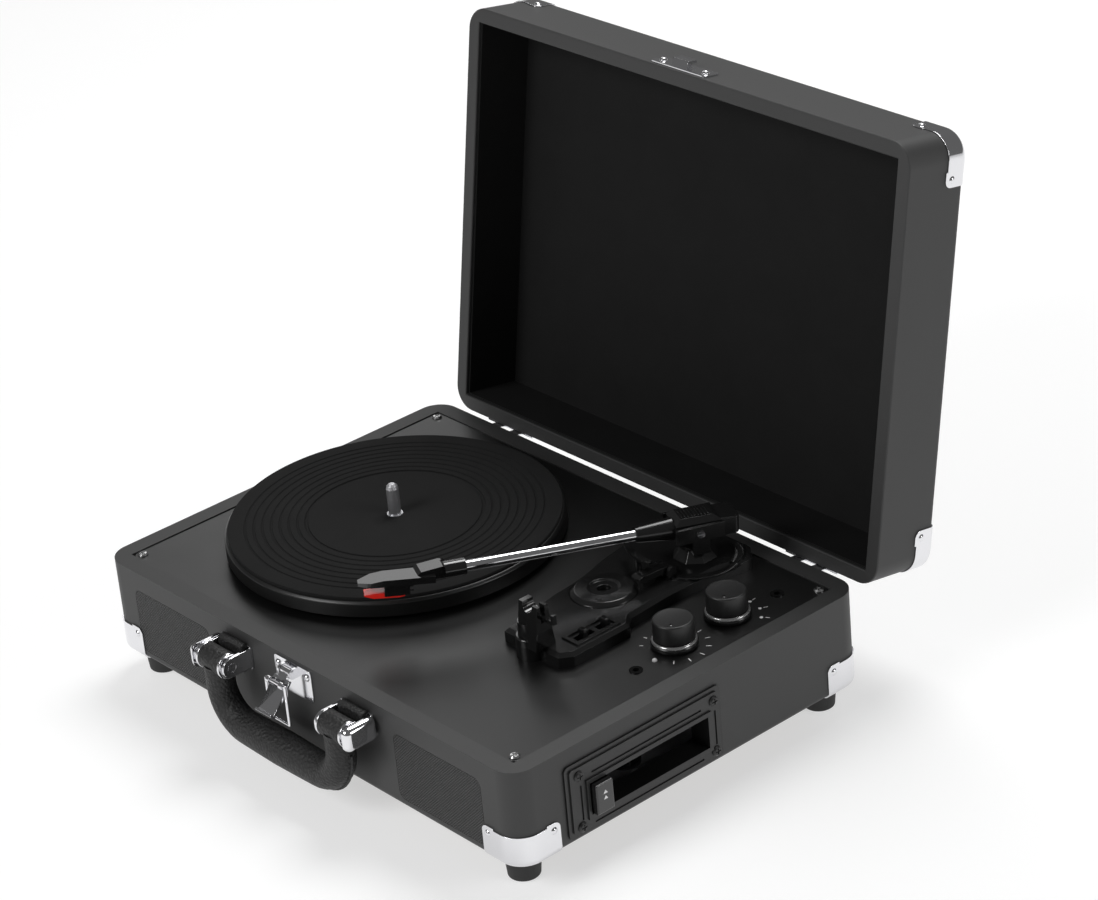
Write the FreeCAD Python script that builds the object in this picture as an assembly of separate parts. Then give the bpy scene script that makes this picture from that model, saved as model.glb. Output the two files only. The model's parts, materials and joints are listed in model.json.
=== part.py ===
import FreeCAD, Part
import math
import os

# Suitcase record player: leatherette case, hinged lid, belt-driven platter, tonearm, cassette slot.
# Frame: +X along the front edge to the right, +Y to the hinges, +Z up. The origin lies on the
# resting plane under the feet, at the middle of the case. The lid is modelled standing open.

# ---- driving dimensions, millimetres ----
CASE_W = 356.0          # base and lid, left to right
CASE_D = 252.0          # base and lid, front to back
CASE_H = 58.0           # base box without feet
LID_H = 44.0            # lid box
WALL_T = 11.0           # covered board of the four walls
CORNER_R = 14.0         # upright corners
EDGE_R = 4.0            # bottom edge of the base and top edge of the lid
FOOT_H = 16.0           # case bottom above the resting plane
FOOT_R_TOP = 10.3
FOOT_R_TIP = 8.8
FOOT_INSET_X = 19.0     # foot centre from the side face
FOOT_INSET_Y = 17.0     # foot centre from the front or back face
FOOT_WELL = 7.6         # depth of the screw well in a foot
FOOT_WELL_R = 4.0
BOTTOM_T = 4.0          # bottom board
CAP_T = 0.8             # chrome corner sheet
CAP_REACH = 28.0        # how far a corner cap runs along each face
CAP_RISE = 20.0         # height of a base corner cap
LID_CAP_RISE = 15.5     # and of a lid corner cap
CAP_EAR_R = 4.0         # rounded ends of its ears
CAP_DIP = 1.2           # how much lower the cap is at the corner itself
NAIL_R = 1.9            # corner nail head
NAIL_INSET = 4.5        # nail centre from the ear's end

DECK_T = 3.0            # moulded deck plate
DECK_SINK = 0.6         # deck surface below the rim
DECK_GAP = 0.4          # deck plate to wall
DECK_R = 4.0            # deck plate corner
DECK_SCREW_INSET = 4.3  # screw centre from the plate's edges
SCREW_HEAD_R = 3.0
SCREW_R = 1.6
SCREW_GAP = 0.1         # screw shank to its hole
SCREW_L = 12.0          # one screw size holds the deck, the bezel and the feet
BLOCK_W = 15.0          # corner block under each deck screw

LID_GAP = 0.4           # closed lid above the rim
LID_ROOF_T = 4.0
LID_WALL_T = 9.0
LINING_T = 1.0
LID_OPEN = 99.5         # degrees
HINGE_BACK = 2.7        # hinge axis behind the back face
HINGE_DROP = 8.6        # hinge axis below the rim
HINGE_PIN_R = 1.1
HINGE_GAP = 0.05        # pin to knuckle
KNUCKLE_R = 2.4
KNUCKLE_SPLIT = 0.3     # gap between neighbouring knuckles
HINGE_L = 40.0
HINGE_X = 128.0         # hinge centre from the middle
LEAF_T = 1.0
LEAF_H = 18.0
LEAF_AWAY = 2.1         # leaf edge above or below the hinge axis

SPINDLE_X = -66.0
SPINDLE_Y = 0.0
SPINDLE_R = 3.6         # the pin that centres a record
SHOULDER_R = 4.6        # the spindle below the record, in the platter and mat
SPINDLE_RISE = 33.0     # spindle tip above the rim
AXLE_R = 3.0            # lower shaft in the bush
RUN_GAP = 0.05          # shaft running clearance
PLATTER_R = 98.0
PLATTER_T = 2.5
PLATTER_LIFT = 3.0      # platter skirt above the deck
MAT_R = 96.0
MAT_T = 2.0
MAT_RISE = 14.0         # mat top above the rim
BELT_RIM_R = 74.5
BELT_T = 0.7
BELT_W = 4.0
BELT_GAP = 0.15         # belt to rim and pulley
PULLEY_R = 4.5
MOTOR_REACH = 86.0      # pulley centre from the spindle
MOTOR_AZ = 210.0        # direction of the motor from the spindle, degrees
MOTOR_R = 17.0
MOTOR_H = 22.0

PIVOT_X = 92.5          # upright axis of the tonearm
PIVOT_Y = 85.0
PIVOT_RISE = 26.4       # arm tilt axis above the rim
ARM_AZ = 245.7          # direction of the arm from its pivot, degrees
ARM_TILT = 2.6          # tip-up angle at rest, degrees
TUBE_R = 3.2
TUBE_BORE = 2.4
COLLAR_NEAR = 13.0
COLLAR_FAR = 34.0
SHELL_NEAR = 131.0      # headshell socket starts here, along the arm
SHELL_FAR = 190.0
SHELL_OFFSET = 10.0     # degrees that the headshell is turned inwards
SHELL_TOP = 0.4         # headshell slab above the tube axis
SHELL_T = 4.0
CARTRIDGE_H = 6.8
STYLUS_DROP = 13.4      # stylus tip below the tube axis
YOKE_HALF = 10.5        # inside half width of the yoke
YOKE_T = 2.0
PARK_ANGLE = 26.4       # from the rest pose outwards to the arm rest, degrees

PLINTH_H = 8.6          # arm plinth above the deck plate
PLINTH_EDGE = 2.2       # its bevel
PLINTH_WALL = 2.2
REST_X = 93.0           # arm rest post
REST_Y = -37.0
REST_R = 8.5
ADAPTOR_X = 84.0        # seat and adaptor for large-hole singles
ADAPTOR_Y = 24.0
ADAPTOR_R = 18.9
CLIP_HALF = 1.3         # half width of the rest's clip
CLIP_PIN_R = 1.0
LOOSE = 0.3             # between pieces that move past each other

SWITCH_X0 = 104.0       # raised frame of the two slide switches
SWITCH_X1 = 117.0
SWITCH_Y0 = -25.0
SWITCH_Y1 = 6.0
SLIDER_X = 110.5
SPEED_Y = -15.0         # speed slider at rest
STOP_Y = 0.5            # auto-stop slider at rest
SPEED_TRAVEL = 4.0      # either way from the middle speed
STOP_TRAVEL = 4.0
SLIDER_W = 3.6
SLIDER_GAP = 0.35
LIFT_X = 86.0           # cue lift under the arm tube
LIFT_Y = 48.0
LIFT_R = 2.0
LIFT_TRAVEL = 4.0
LIFT_CLEAR = 0.5        # raised lift below the tube
LIFT_T = 2.0
LIFT_HALF = 1.8         # half width of the lift's arc
GUIDE_R = 4.4
CUE_X = 97.0            # cue lever
CUE_Y = 58.0
CUE_L = 20.0
CUE_PIN_R = 1.2
CUE_RISE = 4.0          # cue lever's pin above the plinth

KNOB_X = 144.0
VOLUME_Y = 19.5
FUNCTION_Y = 59.0
KNOB_R = 11.3
KNOB_SKIRT_R = 13.0
KNOB_H = 16.0
KNOB_SKIRT_H = 5.0
KNOB_LIFT = 0.5
SHAFT_R = 3.0
PHONE_JACK_Y = -12.5
LINE_JACK_Y = 92.5
LED_Y = 1.0
JACK_X = 148.0
JACK_R = 1.75           # 3.5 mm plug bore
JACK_BODY = 11.0

BEZEL_Y0 = -93.0        # cassette bezel on the right face
BEZEL_Y1 = 17.5
BEZEL_Z0 = 20.0
BEZEL_Z1 = 64.0
SLOT_Y0 = -63.3
SLOT_Y1 = 6.3
SLOT_Z0 = 30.2
SLOT_Z1 = 49.2
KEY_Y0 = -77.6          # eject key beside the slot
KEY_Y1 = -65.8
KEY_TRAVEL = 4.0
CASSETTE_L = 102.0      # depth that the slot takes
HUB_PITCH = 42.5
BEZEL_FACE = 2.2        # screw face of the bezel above the side of the case
BEZEL_SKIN = 1.2        # its outer step
BEZEL_LIP = 2.6         # raised edge round the slot
COLLAR_WALL = 2.2       # wall of the bezel's collar through the case

BOARD_X0 = -40.0        # circuit board
BOARD_X1 = 60.0
BOARD_Y0 = 30.0
BOARD_Y1 = 100.0
REAR_X0 = -76.0         # socket plate on the back
REAR_X1 = 0.0
REAR_Z0 = 32.0
REAR_Z1 = 56.0
SOCKET_R = 5.0
PHONO_R = 4.15          # sleeve of a line-out socket
PHONO_L = 10.0

GRILLE_INSET = 26.5     # speaker grille's outer end from the side face
GRILLE_W = 70.5
GRILLE_UP = 5.5         # its lower edge above the bottom of the case
GRILLE_DROP = 12.0      # its upper edge below the rim
GRILLE_R = 5.0
GRILLE_T = 1.2
SPEAKER_R = 17.5
SPEAKER_DEPTH = 22.0

HANDLE_X = 53.0         # middle of each handle bracket
HANDLE_OUT = 14.5       # handle pin in front of the case
HANDLE_DROP = 14.0      # handle pin below the rim
HANDLE_HALF = 13.0      # half width of a bracket
EAR_T = 2.0
GRIP_R = 10.0
GRIP_DROP = 35.0        # grip bar below the pin
GRIP_BEND = 20.0
HANDLE_PIN_R = 2.5

LATCH_X = -2.0
LATCH_W = 32.0
LATCH_H = 19.5          # latch plate
LATCH_DROP = 2.0        # its top below the rim
LEVER_OUT = 4.5         # lever pin in front of the case
LEVER_DROP = 5.5        # lever pin below the rim
LEVER_L = 26.0
LEVER_W = 13.6
LEVER_HANG = 40.0       # lever's angle out from the front face at rest, degrees
LEVER_CLOSED = 1.5      # and when it is shut
BAIL_DOWN = 8.0         # bail pin along the lever from the lever pin
BAIL_OUT = 4.5          # bail pin in front of the lever pin
BAIL_R = 1.0            # wire radius
BAIL_W = 16.6           # between the wire's middles
CATCH_W = 44.0          # lid catch plate
CATCH_H = 12.0
CATCH_UP = 1.8          # catch plate above the lid's edge
HOOK_UP = 6.0           # hook's floor above the catch plate's edge
HOOK_OUT = 5.5          # hook's front from the lid's face
HOOK_T = 1.5
PLATE_T = 1.0           # latch and catch sheet

# ---- derived places ----
RIM_Z = FOOT_H + CASE_H
DECK_Z = RIM_Z - DECK_SINK
DECK_UNDER = DECK_Z - DECK_T
HALF_W = CASE_W / 2
HALF_D = CASE_D / 2
GRILLE_X1 = HALF_W - GRILLE_INSET
GRILLE_X0 = GRILLE_X1 - GRILLE_W
GRILLE_Z0 = FOOT_H + GRILLE_UP
GRILLE_Z1 = RIM_Z - GRILLE_DROP
HANDLE_Y = -HALF_D - HANDLE_OUT
HANDLE_Z = RIM_Z - HANDLE_DROP
LATCH_Z1 = RIM_Z - LATCH_DROP
LATCH_Z0 = LATCH_Z1 - LATCH_H
LEVER_Y = -HALF_D - LEVER_OUT
LEVER_Z = RIM_Z - LEVER_DROP
HINGE_Y = HALF_D + HINGE_BACK
HINGE_Z = RIM_Z - HINGE_DROP
LID_Z = RIM_Z + LID_GAP
MAT_Z = RIM_Z + MAT_RISE
PLATTER_TOP = MAT_Z - MAT_T
BELT_Z = DECK_Z + PLATTER_LIFT + 1.0
PLINTH_Z = DECK_Z + PLINTH_H
PIVOT_Z = RIM_Z + PIVOT_RISE
PLATE_HX = HALF_W - WALL_T - DECK_GAP
PLATE_HY = HALF_D - WALL_T - DECK_GAP
DECK_SCREW_X = PLATE_HX - DECK_SCREW_INSET
DECK_SCREW_Y = PLATE_HY - DECK_SCREW_INSET
PULLEY_X = SPINDLE_X + MOTOR_REACH * math.cos(math.radians(MOTOR_AZ))
PULLEY_Y = SPINDLE_Y + MOTOR_REACH * math.sin(math.radians(MOTOR_AZ))
LIFT_REACH = math.hypot(LIFT_X - PIVOT_X, LIFT_Y - PIVOT_Y)
LIFT_TOP = PIVOT_Z + LIFT_REACH * math.tan(math.radians(ARM_TILT)) - TUBE_R - LIFT_TRAVEL - LIFT_CLEAR
PARK_X = PIVOT_X + (PIVOT_Y - REST_Y) * math.tan(math.radians(ARM_AZ + PARK_ANGLE - 270))
PARK_TUBE_Z = PIVOT_Z + (PIVOT_Y - REST_Y) * math.tan(math.radians(ARM_TILT))
FORK_TOP = PARK_TUBE_Z + 1.6
CLIP_X = REST_X + 9.5
CLIP_Z = PARK_TUBE_Z - 5.5
HUB_Y = (SLOT_Y0 + SLOT_Y1) / 2 + 2.5
REAR_MID_Z = (REAR_Z0 + REAR_Z1) / 2
HOOK_Z = LID_Z + CATCH_UP + HOOK_UP

V = FreeCAD.Vector
AXES = {"x": V(1, 0, 0), "y": V(0, 1, 0), "z": V(0, 0, 1)}
CORNERS = [(sx, sy) for sx in (-1, 1) for sy in (-1, 1)]


# ---- shape helpers ----
def box(x0, x1, y0, y1, z0, z1):
    return Part.makeBox(x1 - x0, y1 - y0, z1 - z0, V(x0, y0, z0))


def rod(x, y, z, r, length, axis="z"):
    return Part.makeCylinder(r, length, V(x, y, z), AXES[axis])


def cone(x, y, z, r0, r1, length, axis="z"):
    return Part.makeCone(r0, r1, length, V(x, y, z), AXES[axis])


def fuse(shapes):
    out = shapes[0]
    for shape in shapes[1:]:
        out = out.fuse(shape)
    return out.removeSplitter()


def cut(shape, *tools):
    for tool in tools:
        shape = shape.cut(tool)
    return shape


def rounded(x0, x1, y0, y1, z0, z1, r):
    """Upright block with its four upright edges rounded."""
    block = box(x0, x1, y0, y1, z0, z1)
    return block.makeFillet(r, [e for e in block.Edges if is_along(e, "z")])


def is_along(edge, axis):
    if len(edge.Vertexes) != 2 or not isinstance(edge.Curve, Part.Line):
        return False
    run = edge.Vertexes[1].Point - edge.Vertexes[0].Point
    return abs(abs(run.normalize().dot(AXES[axis])) - 1) < 1e-6


def round_level(shape, z, r):
    """Round every edge that lies wholly at height z."""
    edges = [e for e in shape.Edges if abs(e.BoundBox.ZMin - z) < 1e-4 and abs(e.BoundBox.ZMax - z) < 1e-4]
    return shape.makeFillet(r, edges)


def bevel_level(shape, z, size):
    edges = [e for e in shape.Edges if abs(e.BoundBox.ZMin - z) < 1e-4 and abs(e.BoundBox.ZMax - z) < 1e-4]
    return shape.makeChamfer(size, edges)


def prism(points, z0, z1):
    wire = Part.makePolygon([V(x, y, z0) for x, y in points + points[:1]])
    return Part.Face(wire).extrude(V(0, 0, z1 - z0))


def side_prism(points, x0, x1):
    """Outline in Y and Z, run along X."""
    wire = Part.makePolygon([V(x0, y, z) for y, z in points + points[:1]])
    return Part.Face(wire).extrude(V(x1 - x0, 0, 0))


def turned(profile, x, y):
    """Full turn of an outline of (radius, height) about an upright axis."""
    wire = Part.makePolygon([V(x + r, y, z) for r, z in profile + profile[:1]])
    return Part.Face(wire).revolve(V(x, y, 0), V(0, 0, 1), 360)


def mirrored_x(shape):
    return shape.mirror(V(0, 0, 0), V(1, 0, 0))


def group(shapes):
    return Part.makeCompound(shapes)


def placed(shape, sx, sy):
    """A piece made for the right back corner, mirrored to the corner (sx, sy)."""
    if sx < 0:
        shape = shape.mirror(V(0, 0, 0), V(1, 0, 0))
    if sy < 0:
        shape = shape.mirror(V(0, 0, 0), V(0, 1, 0))
    return shape


def save(name, shape):
    shape.exportStep("parts/%s.step" % name)


def screw(x, y, z):
    """Cross-head screw pointing down, with its head's underside at height z."""
    head_r = SCREW_HEAD_R
    head = turned([(0, z), (head_r, z), (head_r, z + 0.5), (head_r * 0.72, z + 1.3), (0, z + 1.6)], x, y)
    body = fuse([head, rod(x, y, z - SCREW_L, SCREW_R, SCREW_L)])
    arm = head_r * 0.62
    slots = [box(x - arm, x + arm, y - 0.4, y + 0.4, z + 0.8, z + 2),
             box(x - 0.4, x + 0.4, y - arm, y + arm, z + 0.8, z + 2)]
    return cut(body, *slots)


# ---- case ----
def case_block():
    block = rounded(-HALF_W, HALF_W, -HALF_D, HALF_D, FOOT_H, RIM_Z, CORNER_R)
    return round_level(block, FOOT_H, EDGE_R)


def grille_opening(grow, y0, y1):
    """Rounded window in the front wall, for the right speaker."""
    window = box(GRILLE_X0 - grow, GRILLE_X1 + grow, y0, y1, GRILLE_Z0 - grow, GRILLE_Z1 + grow)
    return window.makeFillet(GRILLE_R + grow, [e for e in window.Edges if is_along(e, "y")])


def base_case():
    inner = box(-HALF_W + WALL_T, HALF_W - WALL_T, -HALF_D + WALL_T, HALF_D - WALL_T, FOOT_H - 1, RIM_Z + 1)
    shell = cut(case_block(), inner)
    blocks = []
    for sx, sy in CORNERS:
        post = box(HALF_W - WALL_T - BLOCK_W, HALF_W - WALL_T, HALF_D - WALL_T - BLOCK_W, HALF_D - WALL_T,
                   FOOT_H + BOTTOM_T, DECK_UNDER)
        blocks.append(placed(post, sx, sy))
    shell = fuse([shell] + blocks)
    grille = grille_opening(0, -HALF_D - 1, -HALF_D + GRILLE_T)
    throat = grille_opening(-4, -HALF_D - 1, -HALF_D + WALL_T + 1)
    shell = cut(shell, grille, throat, mirrored_x(grille), mirrored_x(throat))
    throat = COLLAR_WALL + DECK_GAP
    shell = cut(shell, slot_block(throat, HALF_W - WALL_T - 1, HALF_W + 1))
    for x in socket_places():
        shell = cut(shell, rod(x, HALF_D - WALL_T - 1, REAR_MID_Z, SOCKET_R + DECK_GAP, WALL_T + 2, "y"))
    for sx, sy in CORNERS:
        shell = cut(shell, rod(sx * DECK_SCREW_X, sy * DECK_SCREW_Y, DECK_Z - SCREW_L, SCREW_R + SCREW_GAP, SCREW_L))
    for y, z in bezel_screw_places():
        shell = cut(shell, rod(HALF_W - SCREW_L + BEZEL_FACE, y, z, SCREW_R + SCREW_GAP, SCREW_L, "x"))
    return shell


def base_bottom():
    gap = DECK_GAP
    board = box(-HALF_W + WALL_T + gap, HALF_W - WALL_T - gap, -HALF_D + WALL_T + gap, HALF_D - WALL_T - gap,
                FOOT_H, FOOT_H + BOTTOM_T)
    for x, y in foot_places():
        board = cut(board, rod(x, y, FOOT_H - 1, SCREW_R + SCREW_GAP, BOTTOM_T + 2))
    return board


def foot_places():
    return [(sx * (HALF_W - FOOT_INSET_X), sy * (HALF_D - FOOT_INSET_Y)) for sx, sy in CORNERS]


def feet():
    out = []
    for x, y in foot_places():
        foot = cone(x, y, 0, FOOT_R_TIP, FOOT_R_TOP, FOOT_H - CAP_T)
        foot = round_level(foot, 0, 1.2)
        well = rod(x, y, -1, FOOT_WELL_R, FOOT_WELL + 1)
        bore = rod(x, y, 0, SCREW_R + SCREW_GAP, FOOT_H)
        out.append(cut(foot, well, bore))
    return group(out)


def corner_cap(block, grown, z_flat, rise_to):
    """Chrome cap for the right back corner, between a box and the same box grown by the sheet."""
    shell = grown.cut(block)
    reach_x = HALF_W - CAP_REACH
    reach_y = HALF_D - CAP_REACH
    low, high = sorted((z_flat, rise_to))
    region = box(reach_x, HALF_W + 5, reach_y, HALF_D + 5, low, high)
    cap = shell.common(region)
    ends = [e for e in cap.Edges if abs(e.BoundBox.ZMin - rise_to) < 1e-4 and abs(e.BoundBox.ZMax - rise_to) < 1e-4
            and (e.BoundBox.XMax - reach_x < 1e-4 or e.BoundBox.YMax - reach_y < 1e-4)]
    cap = cap.makeFillet(CAP_EAR_R, ends)
    # the dip at the corner: an upright-edged notch centred on the corner itself
    dip_r = CAP_REACH - 2.0 * NAIL_INSET
    dip_low, dip_high = sorted((rise_to, rise_to + (CAP_DIP if rise_to < z_flat else -CAP_DIP)))
    dip = box(HALF_W - dip_r, HALF_W + 5, HALF_D - dip_r, HALF_D + 5, dip_low, dip_high)
    return cap.cut(dip)


def base_corners():
    block = case_block()
    grown = rounded(-HALF_W - CAP_T, HALF_W + CAP_T, -HALF_D - CAP_T, HALF_D + CAP_T, FOOT_H - CAP_T, RIM_Z,
                    CORNER_R + CAP_T)
    grown = round_level(grown, FOOT_H - CAP_T, EDGE_R + CAP_T)
    cap = corner_cap(block, grown, FOOT_H - 5, FOOT_H + CAP_RISE)
    for x, y in foot_places():
        cap = cap.cut(rod(x, y, FOOT_H - 5, SCREW_R + SCREW_GAP, 10))
    return group([placed(cap.copy(), sx, sy) for sx, sy in CORNERS])


def corner_nails(z):
    """Two domed nail heads for the right back corner, at height z, one on each face."""
    along_x = HALF_W - CAP_REACH + NAIL_INSET
    along_y = HALF_D - CAP_REACH + NAIL_INSET
    side = Part.makeSphere(NAIL_R * 1.3, V(HALF_W + CAP_T - NAIL_R * 0.7, along_y, z))
    side = side.common(box(HALF_W + CAP_T, HALF_W + 6, 0, HALF_D, 0, 400))
    back = Part.makeSphere(NAIL_R * 1.3, V(along_x, HALF_D + CAP_T - NAIL_R * 0.7, z))
    back = back.common(box(0, HALF_W, HALF_D + CAP_T, HALF_D + 6, 0, 400))
    return [side, back]


def base_corner_nails():
    nails = corner_nails(FOOT_H + CAP_RISE - NAIL_INSET)
    return group([placed(n.copy(), sx, sy) for sx, sy in CORNERS for n in nails])


# ---- speakers ----
def speaker_grilles():
    mesh = grille_opening(-0.2, -HALF_D, -HALF_D + GRILLE_T)
    return group([mesh, mirrored_x(mesh)])


def speaker_drivers():
    x = (GRILLE_X0 + GRILLE_X1) / 2
    z = (GRILLE_Z0 + GRILLE_Z1) / 2
    y = -HALF_D + WALL_T
    frame = box(x - SPEAKER_R - 3, x + SPEAKER_R + 3, y, y + 2.5, z - SPEAKER_R - 1, z + SPEAKER_R + 1)
    basket = cone(x, y + 2.5, z, SPEAKER_R, SPEAKER_R * 0.55, 10, "y")
    magnet = rod(x, y + 12.5, z, SPEAKER_R * 0.8, SPEAKER_DEPTH - 12.5, "y")
    mouth = cone(x, y - 1, z, SPEAKER_R - 1.5, SPEAKER_R * 0.4, 10, "y")
    driver = cut(fuse([frame, basket, magnet]), mouth)
    return group([driver, mirrored_x(driver)])


# ---- deck ----
def deck_plate():
    plate = rounded(-PLATE_HX, PLATE_HX, -PLATE_HY, PLATE_HY, DECK_UNDER, DECK_Z, DECK_R)
    under = DECK_UNDER - 1
    through = DECK_T + 2
    plate = cut(plate, rod(SPINDLE_X, SPINDLE_Y, under, 8.0, through))
    plate = cut(plate, rod(PULLEY_X, PULLEY_Y, under, PULLEY_R + 1.5, through))
    for y in (VOLUME_Y, FUNCTION_Y):
        plate = cut(plate, rod(KNOB_X, y, under, SHAFT_R + 0.6, through))
    for y in (PHONE_JACK_Y, LINE_JACK_Y):
        plate = cut(plate, rod(JACK_X, y, under, 3.0, through))
    plate = cut(plate, rod(JACK_X, LED_Y, under, 1.5, through))
    for sx, sy in CORNERS:
        plate = cut(plate, rod(sx * DECK_SCREW_X, sy * DECK_SCREW_Y, under, SCREW_R + SCREW_GAP, through))
    for x, y in cue_holes():
        plate = cut(plate, rod(x, y, under, 2.6, through))
    return plate


def case_screws():
    """Twelve equal screws: four in the deck, four in the cassette bezel, four up through the feet."""
    out = [screw(sx * DECK_SCREW_X, sy * DECK_SCREW_Y, DECK_Z) for sx, sy in CORNERS]
    for y, z in bezel_screw_places():
        body = screw(0, 0, 0)
        body.rotate(V(0, 0, 0), V(0, 1, 0), 90)
        body.translate(V(HALF_W + BEZEL_FACE, y, z))
        out.append(body)
    for x, y in foot_places():
        body = screw(x, y, 0)
        body.rotate(V(x, y, 0), V(1, 0, 0), 180)
        body.translate(V(0, 0, FOOT_WELL))
        out.append(body)
    return group(out)


def platter():
    under = DECK_Z + PLATTER_LIFT
    top = PLATTER_TOP
    ring_in = BELT_RIM_R - 2.5
    profile = [(SHOULDER_R, top), (PLATTER_R - 1.5, top), (PLATTER_R, top - 1.5), (PLATTER_R, under),
               (PLATTER_R - 2.5, under), (PLATTER_R - 2.5, top - PLATTER_T), (BELT_RIM_R, top - PLATTER_T),
               (BELT_RIM_R, under), (ring_in, under), (ring_in, top - PLATTER_T), (13.0, top - PLATTER_T),
               (13.0, top - 6.0), (SHOULDER_R, top - 6.0)]
    return turned(profile, SPINDLE_X, SPINDLE_Y)


def slip_mat():
    ring = turned([(SHOULDER_R, PLATTER_TOP), (MAT_R, PLATTER_TOP), (MAT_R, MAT_Z - 0.5), (MAT_R - 0.5, MAT_Z),
                   (SHOULDER_R, MAT_Z)], SPINDLE_X, SPINDLE_Y)
    return ring


def spindle():
    tip = RIM_Z + SPINDLE_RISE
    shoulder = PLATTER_TOP - 6.0
    low = DECK_UNDER - 18.0
    return turned([(0, low), (AXLE_R, low), (AXLE_R, shoulder), (SHOULDER_R, shoulder), (SHOULDER_R, MAT_Z),
                   (SPINDLE_R, MAT_Z), (SPINDLE_R, tip - 3.2), (SPINDLE_R * 0.86, tip - 1.5),
                   (SPINDLE_R * 0.5, tip - 0.3), (0, tip)], SPINDLE_X, SPINDLE_Y)


def platter_bush():
    low = DECK_UNDER - 21.0
    bore = AXLE_R + RUN_GAP
    top = PLATTER_TOP - 6.5
    return turned([(0, low), (7.5, low), (7.5, DECK_UNDER - 2.5), (12.0, DECK_UNDER - 2.5), (12.0, DECK_UNDER),
                   (7.5, DECK_UNDER), (7.5, top), (bore, top), (bore, low + 2.7), (0, low + 2.7)],
                  SPINDLE_X, SPINDLE_Y)


def loop_face(r_big, r_small, z):
    """Face inside the loop that runs round the belt rim and the pulley."""
    reach = MOTOR_REACH
    lean = math.acos((r_big - r_small) / reach)
    turn = math.radians(MOTOR_AZ)

    def spot(cx, cy, r, angle):
        return V(cx + r * math.cos(turn + angle), cy + r * math.sin(turn + angle), z)

    a = spot(SPINDLE_X, SPINDLE_Y, r_big, lean)
    far = spot(SPINDLE_X, SPINDLE_Y, r_big, math.pi)
    b = spot(SPINDLE_X, SPINDLE_Y, r_big, -lean)
    c = spot(PULLEY_X, PULLEY_Y, r_small, -lean)
    near = spot(PULLEY_X, PULLEY_Y, r_small, 0)
    d = spot(PULLEY_X, PULLEY_Y, r_small, lean)
    edges = [Part.Arc(a, far, b).toShape(), Part.LineSegment(b, c).toShape(),
             Part.Arc(c, near, d).toShape(), Part.LineSegment(d, a).toShape()]
    return Part.Face(Part.Wire(edges))


def drive_belt():
    inner = loop_face(BELT_RIM_R + BELT_GAP, PULLEY_R + BELT_GAP, BELT_Z)
    outer = loop_face(BELT_RIM_R + BELT_GAP + BELT_T, PULLEY_R + BELT_GAP + BELT_T, BELT_Z)
    return outer.extrude(V(0, 0, BELT_W)).cut(inner.extrude(V(0, 0, BELT_W)))


def platter_motor():
    top = DECK_UNDER - 2.0
    can = round_level(rod(PULLEY_X, PULLEY_Y, top - MOTOR_H, MOTOR_R, MOTOR_H), top - MOTOR_H, 2)
    ears = box(PULLEY_X - MOTOR_R - 5, PULLEY_X + MOTOR_R + 5, PULLEY_Y - 5, PULLEY_Y + 5, top - 1.5, top)
    legs = [rod(PULLEY_X + s * (MOTOR_R + 2.5), PULLEY_Y, top, 2.4, 2.0) for s in (-1, 1)]
    nose = rod(PULLEY_X, PULLEY_Y, top, 4.0, 2.0)
    body = fuse([can, ears, nose] + legs)
    return cut(body, rod(PULLEY_X, PULLEY_Y, top - 8, 1.0 + RUN_GAP, 12))


def motor_pulley():
    z = BELT_Z - 1.2
    wheel = turned([(0, DECK_UNDER - 9), (1.0, DECK_UNDER - 9), (1.0, z), (PULLEY_R + 0.6, z),
                    (PULLEY_R + 0.6, z + 0.8), (PULLEY_R, z + 0.9), (PULLEY_R, z + 1.5 + BELT_W),
                    (PULLEY_R + 0.6, z + 1.6 + BELT_W), (0, z + 1.6 + BELT_W)], PULLEY_X, PULLEY_Y)
    return wheel


# ---- tonearm plinth ----
def plinth_outline():
    return [(72, -38), (115.5, -38), (120.5, -31), (120.5, 9), (114.5, 16), (112.5, 45), (113, 82), (117.5, 97),
            (117.5, 104), (108, 112), (68, 112), (56, 104), (50, 78)]


def plinth_block(inset, z0, z1):
    """Plinth outline with its platter side hollowed to an arc round the spindle."""
    wire = Part.makePolygon([V(x, y, z0) for x, y in plinth_outline() + plinth_outline()[:1]])
    face = Part.Face(wire)
    if inset:
        face = Part.Face(face.makeOffset2D(-inset, 2).OuterWire)
    block = face.extrude(V(0, 0, z1 - z0))
    swing = rod(SPINDLE_X, SPINDLE_Y, z0 - 1, 130.0 + inset, z1 - z0 + 2)
    return block.cut(swing)


def cue_holes():
    return [(LIFT_X, LIFT_Y)]


def slider_slot(y_low, y_high):
    half = SLIDER_W / 2 + SLIDER_GAP
    return box(SLIDER_X - half, SLIDER_X + half, y_low - half, y_high + half, DECK_Z - 1, PLINTH_Z + 5)


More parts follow.
